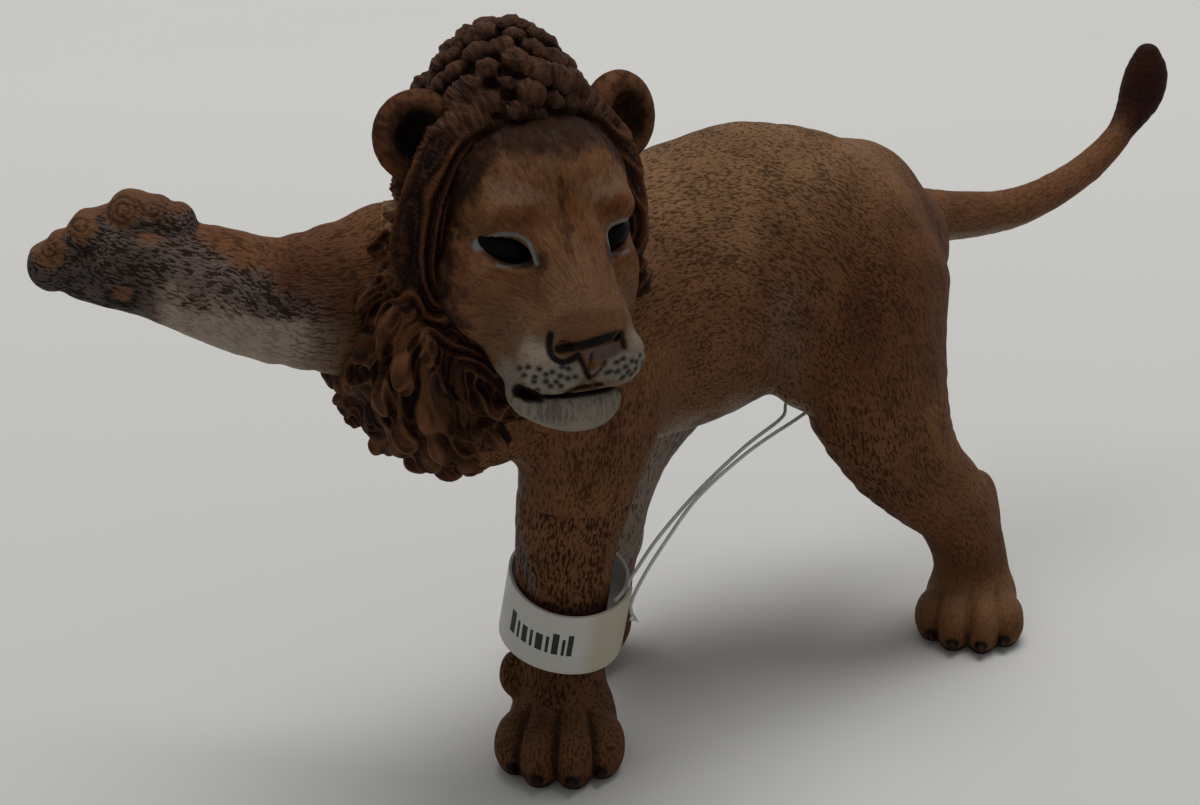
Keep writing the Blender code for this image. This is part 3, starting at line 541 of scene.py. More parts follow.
def curls(centre, radii, turn, count, size, shape, blend):
    """Lumps of hair spread over an oval form along a golden-angle spiral, lying round the face."""
    for index in range(count):
        height = 1 - (2 * index + 1) / count
        beside_axis = math.sqrt(1 - height * height)
        angle = index * GOLDEN_ANGLE
        way = np.array((beside_axis * math.cos(angle), beside_axis * math.sin(angle), height))
        place = centre + turn @ (radii * way)
        out = unit(turn @ (way / radii))
        along = square_to(np.cross(FACE_WAY, place - HEAD_AT), out)
        twist = CURL_TWIST * math.sin(CURL_RHYTHM * index)
        along = along * math.cos(twist) + np.cross(out, along) * math.sin(twist)
        axes = np.stack([along, np.cross(out, along), out], 1)
        scale = size * (1 + CURL_VARIETY * math.cos(CURL_RHYTHM * index * index))
        yield oval(place, scale * shape, axes, blend)


# The mane's masses: middle, half sizes and turn, then its curls: how many, their size, shape and blend.
MANE_MASSES = (
    (from_head(np.array((-1.0, 3.0, 10.0))), (6.0, 6.6, 6.5), HEAD_TURN, 120, 0.76, ROUND_CURL, 0.5),
    (from_head(np.array((-0.8, 9.2, 2.4))), (8.4, 4.8, 10.0), HEAD_TURN, 70, 0.85, ROUND_CURL, 0.6),
    ((-3.6, -22.7, 49.2), (11.8, 10.7, 13.1), np.eye(3), 130, 0.66, CURL, 0.9),
    ((-1.4, -14.4, 60.8), (9.6, 7.9, 7.0), np.eye(3), 40, 0.70, CURL, 0.9),
)
# Bands of hair beside the face, in the head's own places, and the tip below the left one.
MANE_BANDS = (
    ((-4.4, 0.0, 11.2, 2.4, 2.0), (-8.8, -1.6, 6.8, 2.2, 2.0), (-10.8, -1.6, 0.0, 2.4, 2.4),
     (-10.8, -0.4, -7.0, 2.6, 2.4), (-9.2, 0.4, -13.2, 2.6, 2.4)),
    ((3.6, 0.4, 11.2, 2.2, 1.8), (8.0, -1.6, 6.8, 1.6, 1.6), (9.6, -2.0, 1.0, 1.4, 1.4),
     (9.6, -2.4, -6.0, 1.4, 1.4)),
)
BAND_TIP = (10.0, -2.6, -7.0)


def mane_forms():
    forms = []
    for centre, radii, turn, *hair in MANE_MASSES:
        centre, radii = np.array(centre), np.array(radii)
        forms.append(oval(centre, radii, turn, 1.5))
        forms += curls(centre, radii, turn, *hair)
    for rows in MANE_BANDS:
        forms.append(limb([(*from_head(np.array(row[:3])), *row[3:]) for row in rows]))
    return forms + [oval(from_head(np.array(BAND_TIP)), (1.7, 1.7, 1.5), blend=0.5)]


BODY = joined(body_forms())
HEAD = joined(head_forms())
MANE = joined(mane_forms())
MANE_BASE = joined([oval(centre, radii, turn, 1.5) for centre, radii, turn, *_ in MANE_MASSES])
# At a painted-over seam a limb slips under the torso's edge: how deep, and how far to each side.
TUCK, LAP = 0.16, 1.0
NECK_GAP, FACE_GAP, MANE_GAP = 0.35, 0.12, 0.3


def in_seam(points, name):
    """Places measured from a limb's seam: two across it, then the way out of the torso."""
    place, way, _ = SEAMS[name]
    out = unit(np.array(way))
    across = square_to(np.array((1.0, 0, 0)), out)
    return (points - place) @ np.stack([across, np.cross(out, across), out], 1)


def limb_space(p, name, under):
    """Negative in the limb's own space. Under lets it run on beneath the torso's edge."""
    across, deep, reach = SEAMS[name][2]
    u, v, w = in_seam(p, name).T
    return np.maximum.reduce([np.abs(u) - across, np.abs(v) - deep, w - reach, -w - under])


def coat_skin(name):
    """The field of one coat casting: the torso without its limbs' spaces, or a limb in its own."""
    def limb_field(p):
        tuck = TUCK * (1 - ramp(in_seam(p, name)[:, 2], -LAP, LAP))
        return np.maximum.reduce([BODY(p) + tuck, limb_space(p, name, LAP), -p[:, 2]])

    def torso_field(p):
        value = BODY(p)
        for limb_name, (_, _, (across, deep, _)) in SEAMS.items():
            u, v, w = in_seam(p, limb_name).T
            value = value + TUCK * ramp(w, -LAP, LAP) * ((np.abs(u) < across) & (np.abs(v) < deep))
        cuts = [-limb_space(p, limb_name, -LAP) for limb_name in SEAMS]
        return np.maximum.reduce([value, *cuts, -(HEAD(to_head(p)) + NECK_GAP)])

    return torso_field if name == "torso" else limb_field


def mane_skin(p):
    return np.maximum.reduce([MANE(p), -(HEAD(to_head(p)) + FACE_GAP), -(BODY(p) + MANE_GAP)])


def piece_from(name, points, faces, material, masks=None, body="figure"):
    """A smooth closed piece in the frame, from points in millimetres from the lion's origin."""
    mesh = bpy.data.meshes.new(name)
    mesh.vertices.add(len(points))
    mesh.vertices.foreach_set("co", ((points + FIGURE_AT) * MM).astype(np.float32).ravel())
    mesh.loops.add(faces.size)
    mesh.loops.foreach_set("vertex_index", faces.astype(np.int32).ravel())
    mesh.polygons.add(len(faces))
    mesh.polygons.foreach_set("loop_start", np.arange(0, faces.size, faces.shape[1], dtype=np.int32))
    mesh.update(calc_edges=True)
    mesh.validate()
    mesh.shade_smooth()
    for label, values in (masks or {}).items():
        values = np.asarray(values, np.float32)
        kind, field = ("FLOAT", "value") if values.ndim == 1 else ("FLOAT_VECTOR", "vector")
        mesh.attributes.new(label, kind, "POINT").data.foreach_set(field, values.ravel())
    return dressed(put(name, mesh), material, body)


def dressed(obj, material, body):
    obj.data.materials.append(material)
    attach(obj, body)
    return obj


CENTRE_LINES = {
    "left_foreleg": LEFT_FORELEG, "left_hind_leg": LEFT_HIND_LEG, "right_hind_leg": RIGHT_HIND_LEG,
    "right_foreleg": RAISED_LEG, "tail": TAIL[:-1] + TUFT[1:],
}
# The flank's hair runs in wide arcs round this point of the side view, back and then down.
ARC_CENTRE = (-4.5, 26.0)
ARC_RADIUS = 30.0


def along_line(points, rows):
    """Places round and along a limb's centre line: two across it, then the distance down it."""
    line = eased([row[:3] for row in rows], 10)
    tangents = unit(np.gradient(line, axis=0))
    run = run_along(line)
    tree = KDTree(len(line))
    for index, spot in enumerate(line):
        tree.insert(spot, index)
    tree.balance()
    nearest = np.array([tree.find(point)[1] for point in points])
    off = points - line[nearest]
    tangent = tangents[nearest]
    ahead = np.einsum("ij,ij->i", off, tangent)
    side = off - ahead[:, None] * tangent
    second = unit(np.cross(tangent, (1.0, 0.3, 0.2)))
    third = np.cross(second, tangent)
    return np.stack([np.einsum("ij,ij->i", side, second), np.einsum("ij,ij->i", side, third),
                     run[nearest] + ahead], 1)


def run_along(path):
    """The distance from a path's start to each of its points."""
    return np.concatenate([[0], np.cumsum(np.linalg.norm(np.diff(path, axis=0), axis=1))])


def hair_lines(points, name):
    """Places in the lie of the coat, in millimetres: two across the hair, then one along it."""
    if name in CENTRE_LINES:
        return along_line(points, CENTRE_LINES[name])
    x, y, z = points.T
    y, z = y - ARC_CENTRE[0], z - ARC_CENTRE[1]
    return np.stack([x, np.hypot(y, z), ARC_RADIUS * np.arctan2(y, z)], 1)


def pale_parts(points, normals, name):
    """Where the coat is pale: underneath and between the legs."""
    x, y, z = points.T
    nx, ny, nz = normals.T
    wobble = 0.12 * smooth_noise(points, 3.0, 5)
    if name == "left_foreleg":
        return ramp(-nx - 0.35 + wobble, 0, 0.5) * ramp(z, 10, 16)
    if name == "left_hind_leg":
        return ramp(-nx - 0.2 * ny - 0.45 + wobble, 0, 0.4) * ramp(z, 8, 14)
    if name == "right_hind_leg":
        return ramp(nx - 0.1 + wobble, 0, 0.5) * ramp(z, 8, 14)
    if name == "tail":
        return 0.6 * ramp(-nz - 0.25 + wobble, 0, 0.5) * ramp(75 - y, 0, 10)
    belly = ramp(-nz - 0.45 + wobble, 0, 0.4) * ramp(y, -12, -2)
    inner = ramp(-nx * np.sign(x) - 0.2 + wobble, 0, 0.4) * ramp(40 - z, 0, 4)
    return np.clip(belly + inner, 0, 1)


# Geometry of each coat casting: its own box, its grid step, and how strongly its hair is engraved.
COAT_PIECES = {
    "torso": ((-20, -34, 26), (20, 50, 68), TORSO_STEP, 0.80),
    "left_foreleg": ((-8, -26, -2), (14, 0, 36), LIMB_STEP, 1.40),
    "left_hind_leg": ((2, 14, -2), (22, 54, 36), LIMB_STEP, 0.95),
    "right_hind_leg": ((-22, -6, -2), (-2, 34, 36), LIMB_STEP, 0.8),
    "right_foreleg": ((-34, -58, 38), (6, -18, 70), LIMB_STEP, 1.15),
    "tail": ((-6, 42, 36), (6, 99, 62), LIMB_STEP, 0.5),
}


def claw_mask(points):
    gaps = [np.linalg.norm((points - place) @ turn / (1.0, 1.35, 1.05), axis=1)
            for place, turn in claw_places()]
    return 1 - ramp(np.minimum.reduce(gaps), 0.6, 0.95)


def toe_clefts(points, name):
    """From 1 in the folds between a standing paw's toes to 0 on the toes."""
    middle, degrees, width = PAW_PLACES[name]
    gaps = np.sort([form[0](points.astype(np.float32))
                    for form in paw_forms(middle, turned(degrees), width, PAW[1:])], axis=0)
    return (1 - ramp(gaps[1] - gaps[0], 0.1, 0.75)) * (1 - ramp(gaps[1], 0.8, 1.8))


# The raised paw's toe pads on the sheet, with their sizes, and how far apart their rings of hair are.
TOE_WHORLS = (((50, 250), 15), ((80, 225), 15), ((122, 210), 17), ((152, 208), 11), ((172, 216), 10))
RING_STEP = 7.0


def raised_leg_zones(points, normals):
    """Tan along the raised leg's top, grey-lilac on its side, pale beige underneath, its palm and pads."""
    place = on_sheet(points)
    out = in_seam(points, "right_foreleg")[:, 2]
    wobble = 0.16 * smooth_noise(points, 2.4, 5) + 0.08 * smooth_noise(points, 0.9, 6)
    up = normals @ VIEW_UP + wobble
    side = ramp(0.05 + 0.55 * ramp(out, 4, 18) - up, -0.12, 0.22)
    low = ramp(-0.12 - up, 0, 0.40) * ramp(out, 0, 6) * (1 - ramp(out, 20, 24))
    reach = ramp(out + 2.5 * wobble, 1.5, 10.0)
    on_paw = ramp(out, 18, 21)
    beige = low * (0.35 + 0.65 * reach)
    palm = ramp(-normals @ raised_paw_turn()[:, 2], 0.0, 0.4) * on_paw
    toes = np.maximum(ramp(up, 0.25, 0.6) * on_paw, patch(place, (122, 294), (11, 8), 0.3, 10))
    heel = patch(place, (122, 298), (16, 13), 0.25, 10) - patch(place, (122, 293), (12, 9), 0.3, 10)
    whorls = np.maximum(heel * ramp(out, 15, 18), 0)
    ragged = 2.5 * smooth_noise(points, 0.8, 71)
    for middle, size in TOE_WHORLS:
        gap = np.hypot(*(place - middle).T) + ragged
        toes = np.maximum(toes, 1 - ramp(gap, size, size + 6))
        rings = ramp(np.abs(gap / RING_STEP % 1.0 - 0.5) * 2, 0.5, 1.0)
        whorls = np.maximum(whorls, rings * (1 - ramp(gap, 0.75 * size, size)))
    whorls = whorls * ramp(normals @ VIEW_BACK, 0.0, 0.2)
    return side * reach * (1 - beige), beige * (1 - palm), palm * (1 - toes), toes * on_paw, whorls


# Grey-lilac edges on the sheet, and places painted darker: a strength, then a stroke or patch.
LILAC_STROKES = {
    "left_foreleg": (0.9, ((512, 480), (516, 520), (524, 560), (534, 592)), 8),
    "left_hind_leg": (0.5, ((800, 405), (822, 462), (868, 503), (905, 522)), 6),
}
FLANK_LILAC = ((0.30, (788, 335), (20, 58), 0.6),)
DARK_PATCHES = {
    "torso": ((0.5, (862, 330), (20, 52), 0.6),),
    "right_foreleg": ((0.9, (318, 300), (50, 64), 0.5, 12),),
}


def make_coat(name, material):
    low, high, step, engraving = COAT_PIECES[name]
    points, faces, normals = skin_over(coat_skin(name), low, high, step)
    x, y, z = points.T
    place = on_sheet(points)
    blank = np.zeros(len(points))
    on_torso = blank + (name == "torso")
    masks = {"hair": hair_lines(points, name), "falling_hair": np.stack([x, y, -z + 0.15 * y], 1)}
    claws = clefts = sole = palm = toes = whorls = light = blank
    depth = blank + engraving
    if name == "right_foreleg":
        lilac, beige, palm, toes, whorls = raised_leg_zones(points, normals)
        depth = depth * (0.6 + 1.15 * lilac) * (1 - 0.5 * beige) * (1 - 0.7 * toes) + 0.3 * palm
    else:
        beige = 0.75 * pale_parts(points, normals, name)
        lilac = 0.5 * beige
    if name in LILAC_STROKES:
        strength, rows, width = LILAC_STROKES[name]
        lilac = np.maximum(lilac, strength * stroke(place, rows, width))
    lilac = np.maximum(lilac, on_torso * patches(place, FLANK_LILAC))
    fore = name == "left_foreleg"
    if name in PAW_PLACES:
        claws, sole = claw_mask(points), ramp(1.0 - z, 0, 0.6)
        clefts = toe_clefts(points, name) * (1 if fore else 1 - 0.7 * ramp(z, 1.5, 3.5))
        depth = depth * (0.55 + 0.45 * ramp(z, 6, 12))
        # Painted highlight: the tops of the standing paws' toes are painted lighter, as if lit from above.
        light = (0.4 if fore else 0.75) * ramp(normals[:, 2], 0.1, 0.9) * ramp(9 - z, 0, 2)
    if name in ("torso", "left_hind_leg"):
        depth = depth * (1 - 0.35 * ramp(y, 22, 34))
    lumps = 0.05 * smooth_noise(points, 1.6, 9) + 0.08 * smooth_noise(points, 6.0, 10)
    lumps = lumps - 0.12 * whorls - 0.25 * clefts
    lumps = lumps + 0.16 * smooth_noise(points, 1.3, 72) * np.maximum(palm, toes)
    points = points + normals * (lumps * (z > 1.5))[:, None]
    points[:, 2] = np.maximum(points[:, 2], 0)
    # Random darker tone, and painted shade: darker towards the bottom of the legs and at the rear of the
    # torso, plus darker patches from the sheet.
    dark = 0.25 * smooth_noise(points, 8, 12) + 0.5 * ramp(30 - z, 0, 22) * (name != "right_foreleg")
    dark += 0.45 * ramp(y - 16, 0, 12) * ramp(60 - z, 0, 12) * on_torso
    if name in DARK_PATCHES:
        dark += patches(place, DARK_PATCHES[name])
    if "hind" in name:
        dark *= 1 - 0.85 * ramp(9.5 - z, 0, 3)
    masks.update({
        "depth": depth, "lilac": lilac, "beige": beige, "palm": palm, "toe_pads": toes,
        "drop": on_torso * ramp(-2 - y, 0, 8) * ramp(52 - z, 0, 8), "dark": np.clip(dark, 0, 1),
        # Painted top light: the top of the torso's back is painted lighter, as if lit from above.
        "light": light + on_torso * ramp(z - 50 + 3 * smooth_noise(points, 5, 13), 0, 10),
        "tuft": ramp(y - 86 + 0.35 * (z - 46), 0, 5) * (name == "tail"),
        "black": np.maximum.reduce([claws, 0.85 * sole, 0.75 * whorls, 0.7 * clefts]),
    })
    return piece_from(name + "_casting", points, faces, material, masks)


# The face's painted lines, as strokes on the sheet with their widths.
NOSE_STROKES = (
    (((550, 335), (549, 347), (554, 358), (565, 362), (578, 356)), 7.5),
    (((559, 349), (575, 347), (592, 343), (608, 338), (620, 335)), 10.5),
    (((610, 338), (621, 338), (625, 347)), 6.5),
    (((579, 357), (584, 366), (589, 378)), 6.0),
    (((593, 377), (600, 370), (606, 361)), 3.0),
)
MOUTH_STROKES = ((((530, 394), (545, 397), (560, 396), (570, 391), (581, 387), (602, 384)), 4.5),)
LID_STROKES = (
    (((476, 249), (480, 242), (490, 237), (502, 234), (517, 235), (527, 241), (533, 252), (537, 264)), 3.6),
    (((497, 266), (508, 267), (520, 265)), 2.4),
)
CREASE_STROKES = ((((560, 180), (563, 205), (566, 228), (568, 250)), 9.0),)
# Painted patches on the sheet: strength, middle, size, softness and tilt. The mouth's narrow to the right.
MOUTH_CORNER = (
    (1, (519, 391), (7.5, 7.5), 0.25, 40), (1, (527, 396), (9, 6.0), 0.25, 30),
    (1, (536, 399), (9, 3.6), 0.3, 14),
)
WHITE_PATCHES = (
    (1, (550, 376), (36, 16), 0.25, -4), (1, (614, 365), (25, 19), 0.25, -38),
    (1, (556, 408), (52, 17), 0.2, -4), (0.9, (508, 380), (15, 24), 0.4), (0.75, (535, 357), (17, 20), 0.6),
)
CHIN_PATCHES = ((1, (562, 408), (46, 16), 0.2, -4),)
RUST_PATCHES = (
    (1, (520, 217), (23, 11), 0.5, 4), (0.8, (566, 218), (16, 34), 0.6), (0.7, (462, 262), (15, 18), 0.6),
    (0.6, (500, 274), (28, 8), 0.6),
)
PALE_PATCHES = (
    (0.9, (514, 194), (32, 12), 0.5, 8), (0.55, (520, 330), (40, 34), 0.6, 25),
    (0.5, (586, 256), (12, 20), 0.6), (0.35, (572, 296), (40, 40), 0.6),
)
TEMPLE_PATCHES = ((0.95, (452, 186), (52, 21), 0.35, -44), (0.92, (528, 128), (84, 30), 0.4, 6))
LEATHER_PATCHES = ((1, (603, 352), (20, 7), 0.3, -12),)
TEAR_PATCHES = ((1, (479, 245), (6, 6), 0.4),)
SOCKET_PATCHES = ((0.75, (541, 262), (8, 11), 0.6),)
# Whisker dots: the first and last of each row on the sheet, how many there are, and how they waver.
DOT_ROWS = (
    ((519, 367), (551, 371), 4, 0), ((522, 376), (574, 376), 5, 1), ((532, 383), (570, 380), 4, 2),
    ((537, 389), (560, 386), 3, 3), ((561, 367), (570, 368), 2, 7),
)
DOT_SIZE, DOT_SOFTNESS = (3.4, 2.8), 0.45
# The face's shaded edge: an oval of the sheet, and the middle that its streaks run from.
FACE_MIDDLE, FACE_SIZE, STREAKS_FROM, STREAKS = (568, 270), (122, 158), (580, 300), 26
NOSE_MIDDLE = np.array((0.0, -15.0, -5.0))


def strokes(place, lines):
    return np.maximum.reduce([stroke(place, rows, width) for rows, width in lines])


def whisker_dots(place):
    dots = []
    for first, last, count, waver in DOT_ROWS:
        for index in range(count):
            spot = np.array(first) + index / (count - 1) * (np.array(last) - first)
            spot += 2 * math.sin(5 * index + waver), 1.5 * math.cos(4 * index + 2 * waver)
            dots.append((1, spot, DOT_SIZE, DOT_SOFTNESS))
    return patches(place, dots)


def make_head(material):
    q, faces, normals = skin_over(HEAD, (-16, -22, -20), (16, 16, 16), HEAD_STEP)
    x, y, z = q.T
    place = on_sheet(from_head(q))
    facing = ramp((normals @ HEAD_TURN.T) @ VIEW_BACK, 0.0, 0.15)
    # The far side of the face is painted as the near side's mirror image.
    mirrored = np.where(x > 0, -1, 1)[:, None] * (1, 0, 0) + (0, 1, 1)
    near = on_sheet(from_head(q * mirrored))
    near_facing = ramp(((normals * mirrored) @ HEAD_TURN.T) @ VIEW_BACK, 0.0, 0.15)
    blur = 0.5 * smooth_noise(q, 1.1, 3) + 0.5 * smooth_noise(q, 0.5, 4)
    fine = smooth_noise(q, 0.4, 6)
    ragged = 5.0 * noises(q, 0.9, 51, 52)
    loose = near + ragged
    under_chin = ramp(-12.8 - z, 0, 1.2) * ramp(-8.5 - y, 0, 2)
    white = np.clip(np.maximum(patches(loose, WHITE_PATCHES), under_chin) + 0.12 * blur, 0, 1)
    dots = whisker_dots(near) * near_facing
    black = strokes(place, NOSE_STROKES) * facing
    corner = patches(near, MOUTH_CORNER) * near_facing
    slit = np.abs(((q - MOUTH_AT) @ MOUTH_TURN)[:, 2])
    slit = (1 - ramp(slit, 0.1, 0.28)) * (np.hypot(x / 5.0, (y + 15.0) / 4.9) < 1)
    mouth = np.maximum.reduce([strokes(place, MOUTH_STROKES) * facing, corner, slit])
    socket = np.zeros(len(q))
    for s in (1, -1):
        gap = (q - beside(s, EYE_HOLE_AT)) @ eye_turn(s) / (2.55, 2.2, 1.15)
        socket = np.maximum(socket, (1 - ramp(np.linalg.norm(gap, axis=1), 0.9, 1.04)) * (y < -6.0))
    rim = np.maximum(strokes(near, LID_STROKES), patches(near, TEAR_PATCHES)) * near_facing * (1 - socket)
    crease = 0.42 * strokes(ragged + place, CREASE_STROKES) * facing
    leather = patches(place, LEATHER_PATCHES) * facing
    pale = patches(loose, PALE_PATCHES) * (0.65 + 0.6 * np.maximum(fine, 0))
    sides = np.hypot(*((near - FACE_MIDDLE) / FACE_SIZE).T)
    run, drop = (near - STREAKS_FROM).T
    streaks = 0.5 + 0.5 * np.sin(STREAKS * np.arctan2(drop, run) + 2.5 * blur)
    edge = ramp(sides + 0.10 * blur + 0.08 * streaks, 0.87, 1.08)
    shade = np.where(near_facing > 0.5, edge, ramp(np.abs(x), 6, 9.5)) * (1 - white)
    shade = np.maximum.reduce([
        shade, patches(near, SOCKET_PATCHES), patches(loose, TEMPLE_PATCHES) * near_facing, crease])
    ear_dark, ears, ear_shade = np.zeros((3, len(q)))
    for s, inner_dark, inner_shade in ((1, 0.8, 0.35), (-1, 1.0, 0.75)):
        local = (q - beside(s, EAR_AT)) @ ear_turn(s)
        gap = np.linalg.norm((local - beside(s, EAR_HOLLOW_AT)) / EAR_HOLLOW_SIZE, axis=1)
        ear_dark = np.maximum(ear_dark, inner_dark * (1 - ramp(gap + 0.1 * fine, 0.90, 1.25)))
        ear = 1 - ramp(np.linalg.norm(local / (4.6, 3.0, 4.7), axis=1), 0.95, 1.15)
        ears = np.maximum(ears, ear)
        ear_shade += (ear > 0.5) * ear * ramp(1.75 + 0.15 * fine - gap, 0, 0.5) * inner_shade
    ear_shade = np.where(ears > 0.5, ear_shade, 0.75 + 0.5 * fine)
    shade = np.maximum(shade * (1 - 0.8 * ears), ear_shade * ears)
    rust = np.maximum(patches(loose, RUST_PATCHES), 0.75 * ears)
    calm = (1 - rim) * (1 - socket) * (1 - black) * (1 - mouth)
    out = q - NOSE_MIDDLE
    reach = np.linalg.norm(out, axis=1)
    relief = -0.08 * dots - 0.10 * black + 0.10 * rim + 0.04 * blur * calm - 0.12 * crease
    chin = patches(near, CHIN_PATCHES) * near_facing
    depth = (0.55 + 0.35 * shade + 0.4 * ears) * (1 - 0.75 * white) * (1 - dots) + 0.5 * chin
    masks = {
        "depth": calm * depth, "drop": chin, "pale": pale, "white": white, "rim": rim, "shade": shade,
        "hair": np.stack([9 * out[:, 0] / reach, 9 * out[:, 2] / reach, reach], 1),
        "falling_hair": q * (1, 0.5, 0.6), "black": np.maximum.reduce([black, 0.9 * dots, socket]),
        "rust": rust, "ear": ear_dark, "mouth": mouth - corner, "hole": corner,
        # Painted top light: the head's surfaces that face up are painted lighter.
        "leather": leather * (1 - black), "light": ramp(normals[:, 2], 0.3, 0.9),
    }
    return piece_from("head_casting", from_head(q + normals * relief[:, None]), faces, material, masks)


# Single light strands that run from the crest past the right ear and down beside the face.
TEMPLE_STROKES = (
    (((478, 140), (452, 156), (430, 172), (412, 200), (402, 236), (405, 268)), 3.5),
    (((446, 178), (426, 204), (414, 240), (418, 280), (424, 318)), 3.5),
    (((392, 214), (386, 248), (388, 284), (398, 312)), 3.5),
    (((428, 330), (430, 352), (440, 378), (446, 392)), 3.5),
)
DARK_LOCKS = ((1, (432, 300), (34, 120), 0.4, -6),)


def make_mane(material):
    p, faces, normals = skin_over(mane_skin, (-19, -37, 30), (17, 0, 84), MANE_STEP)
    q = to_head(p)
    free = ramp(np.minimum(HEAD(q), BODY(p)), 0.2, 0.8)
    around = np.arctan2(q[:, 0], q[:, 2] + 1)
    off = np.hypot(q[:, 0], q[:, 2] + 1)
    warp = noises(p, 3.2, 21, 22, 23)
    ring = ramp(3.4 - q[:, 1], 0, 2.4) * ramp(14.2 + 0.8 * warp[:, 0] - off, 0, 1.2)
    ring *= ramp(q[:, 2], -16, -13) * (1 - ramp(q[:, 2] + 0.8 * warp[:, 1], 8.0, 10.0))
    wave = off * 0.95 - q[:, 1] * 0.75 + 0.55 * warp[:, 2] + 0.4 * np.sin(3 * around)
    strand = ramp(np.abs((wave % 1.0) - 0.5) * 2, 0.35, 0.9)
    top = ramp(q[:, 2], 7.5, 9.5)
    # Hair lies round the face, so its finer locks are stretched that way.
    spin = unit(np.cross(FACE_WAY, p - HEAD_AT))
    flow = p - 0.45 * np.einsum("ij,ij->i", p, spin)[:, None] * spin + 0.9 * warp
    wide, thin = smooth_noise(flow, 1.25, 41), smooth_noise(flow, 0.8, 42)
    tall = MANE_BASE(p)
    rise = ramp(tall, *np.quantile(tall[(free > 0.5) & (ring < 0.5)], (0.15, 0.85)))
    lumps = 0.45 * smooth_noise(p, 3.4, 30) + 0.2 * smooth_noise(p, 1.7, 31)
    wavy = (1 - top) * (0.7 * (1 - ramp(np.abs(wide), 0.05, 0.7)) - 0.35)
    relief = (1 - ring) * ((0.35 + 0.3 * top) * (rise - 0.5) + 0.2 * thin + wavy + lumps)
    relief += ring * (0.6 * strand - 0.35)
    place = on_sheet(p)
    wisps = strokes(place, TEMPLE_STROKES) * ramp(normals @ VIEW_BACK, 0.0, 0.2)
    # From the height over the mane's base form: raised lumps painted lighter as painted highlight, low
    # hollows painted darker as painted shade; the light strands by the temple join the lighter paint.
    ridge = (1 - ring) * ramp(rise, 0.45, 1.1) * (0.65 + 0.5 * thin) * (0.35 + 0.65 * top)
    masks = {
        "ridge": np.clip(np.maximum(ridge, wisps), 0, 1) * (0.3 + 0.7 * free),
        "hollow_shade": (1 - ring) * (1 - ramp(rise, 0.0, 0.5)) * (0.5 + 0.5 * top) * (1 - wisps),
    }
    p = p + normals * (free * (relief + 0.25 * wisps))[:, None]
    masks.update({
        "ring": ring, "crest": top, "beside": patches(place, DARK_LOCKS), "strand": wave,
        "wide": wide, "thin": thin, "hair": np.stack([off, q[:, 1], off * around], 1),
    })
    return piece_from("mane_casting", p, faces, material, masks)


EYE_AT, EYE_SIZE, EYE_ROUND, EYE_RINGS = (5.0, -8.25, 0.3), (2.6, 1.6, 1.5), 32, 20


def make_eyes(material):
    for s, name in ((1, "left_eye"), (-1, "right_eye")):
        form = bmesh.new()
        bmesh.ops.create_uvsphere(form, u_segments=EYE_ROUND, v_segments=EYE_RINGS, radius=1,
                                  matrix=Matrix.Rotation(math.radians(90), 4, "X"))
        for vertex in form.verts:
            spot = beside(s, EYE_AT) + eye_turn(s) @ (np.array(vertex.co) * EYE_SIZE)
            vertex.co = (from_head(spot) + FIGURE_AT) * MM
        mesh = bpy.data.meshes.new(name)
        form.to_mesh(mesh)
        form.free()
        mesh.shade_smooth()
        dressed(put(name, mesh), material, "figure")


# Shader kit. Reckoning with a Value, as in (hair - 0.5) * depth, makes the maths nodes for it.
def reckons(operation, swapped=False):
    def apply(self, other=0.0):
        first, second = (other, self) if swapped else (self, other)
        return node_value(self.tree, "ShaderNodeMath", 0, {0: first, 1: second}, operation=operation)

    return apply


class Value:
    """What a node puts out, a number or a colour."""

    def __init__(self, tree, socket):
        self.tree = tree
        self.socket = socket

    __add__ = reckons("ADD")
    __sub__ = reckons("SUBTRACT")
    __rsub__ = reckons("SUBTRACT", True)
    __mul__ = reckons("MULTIPLY")
    __abs__ = reckons("ABSOLUTE")
    most = reckons("MAXIMUM")
    least = reckons("MINIMUM")
    fraction = reckons("FRACT")
    below = reckons("LESS_THAN")
    above = reckons("GREATER_THAN")


def feed(tree, taker, inputs):
    """Gives a node its inputs: values from other nodes, colours or numbers."""
    for label, value in inputs.items():
        socket = taker.inputs[label]
        if isinstance(value, Value):
            tree.links.new(value.socket, socket)
        else:
            socket.default_value = (*value, 1) if socket.type == "RGBA" else value


def node(tree, kind, inputs, **settings):
    made = tree.nodes.new(kind)
    for setting, value in settings.items():
        setattr(made, setting, value)
    feed(tree, made, inputs)
    return made


def node_value(tree, kind, output, inputs, **settings):
    return Value(tree, node(tree, kind, inputs, **settings).outputs[output])


def mask(tree, name, output="Fac"):
    return node_value(tree, "ShaderNodeAttribute", output, {}, attribute_name=name)


def object_place(tree):
    return node_value(tree, "ShaderNodeTexCoord", "Object", {})


def noise(place, scale, detail, roughness=0.5, distortion=0.0):
    return node_value(place.tree, "ShaderNodeTexNoise", "Fac", {
        "Vector": place, "Scale": scale, "Detail": detail, "Roughness": roughness, "Distortion": distortion})


def mixed(share, first, second):
    return node_value(share.tree, "ShaderNodeMix", 2, {0: share, 6: first, 7: second}, data_type="RGBA")


def between(share, first, second):
    return node_value(share.tree, "ShaderNodeMix", 0, {0: share, 2: first, 3: second})


def spread(value, low, high, to_low=0.0, to_high=1.0):
    return node_value(value.tree, "ShaderNodeMapRange", "Result", {
        "Value": value, "From Min": low, "From Max": high, "To Min": to_low, "To Max": to_high})


def new_material(name):
    material = bpy.data.materials.new(name)
    material.use_nodes = True
    return material, material.node_tree, material.node_tree.nodes["Principled BSDF"]


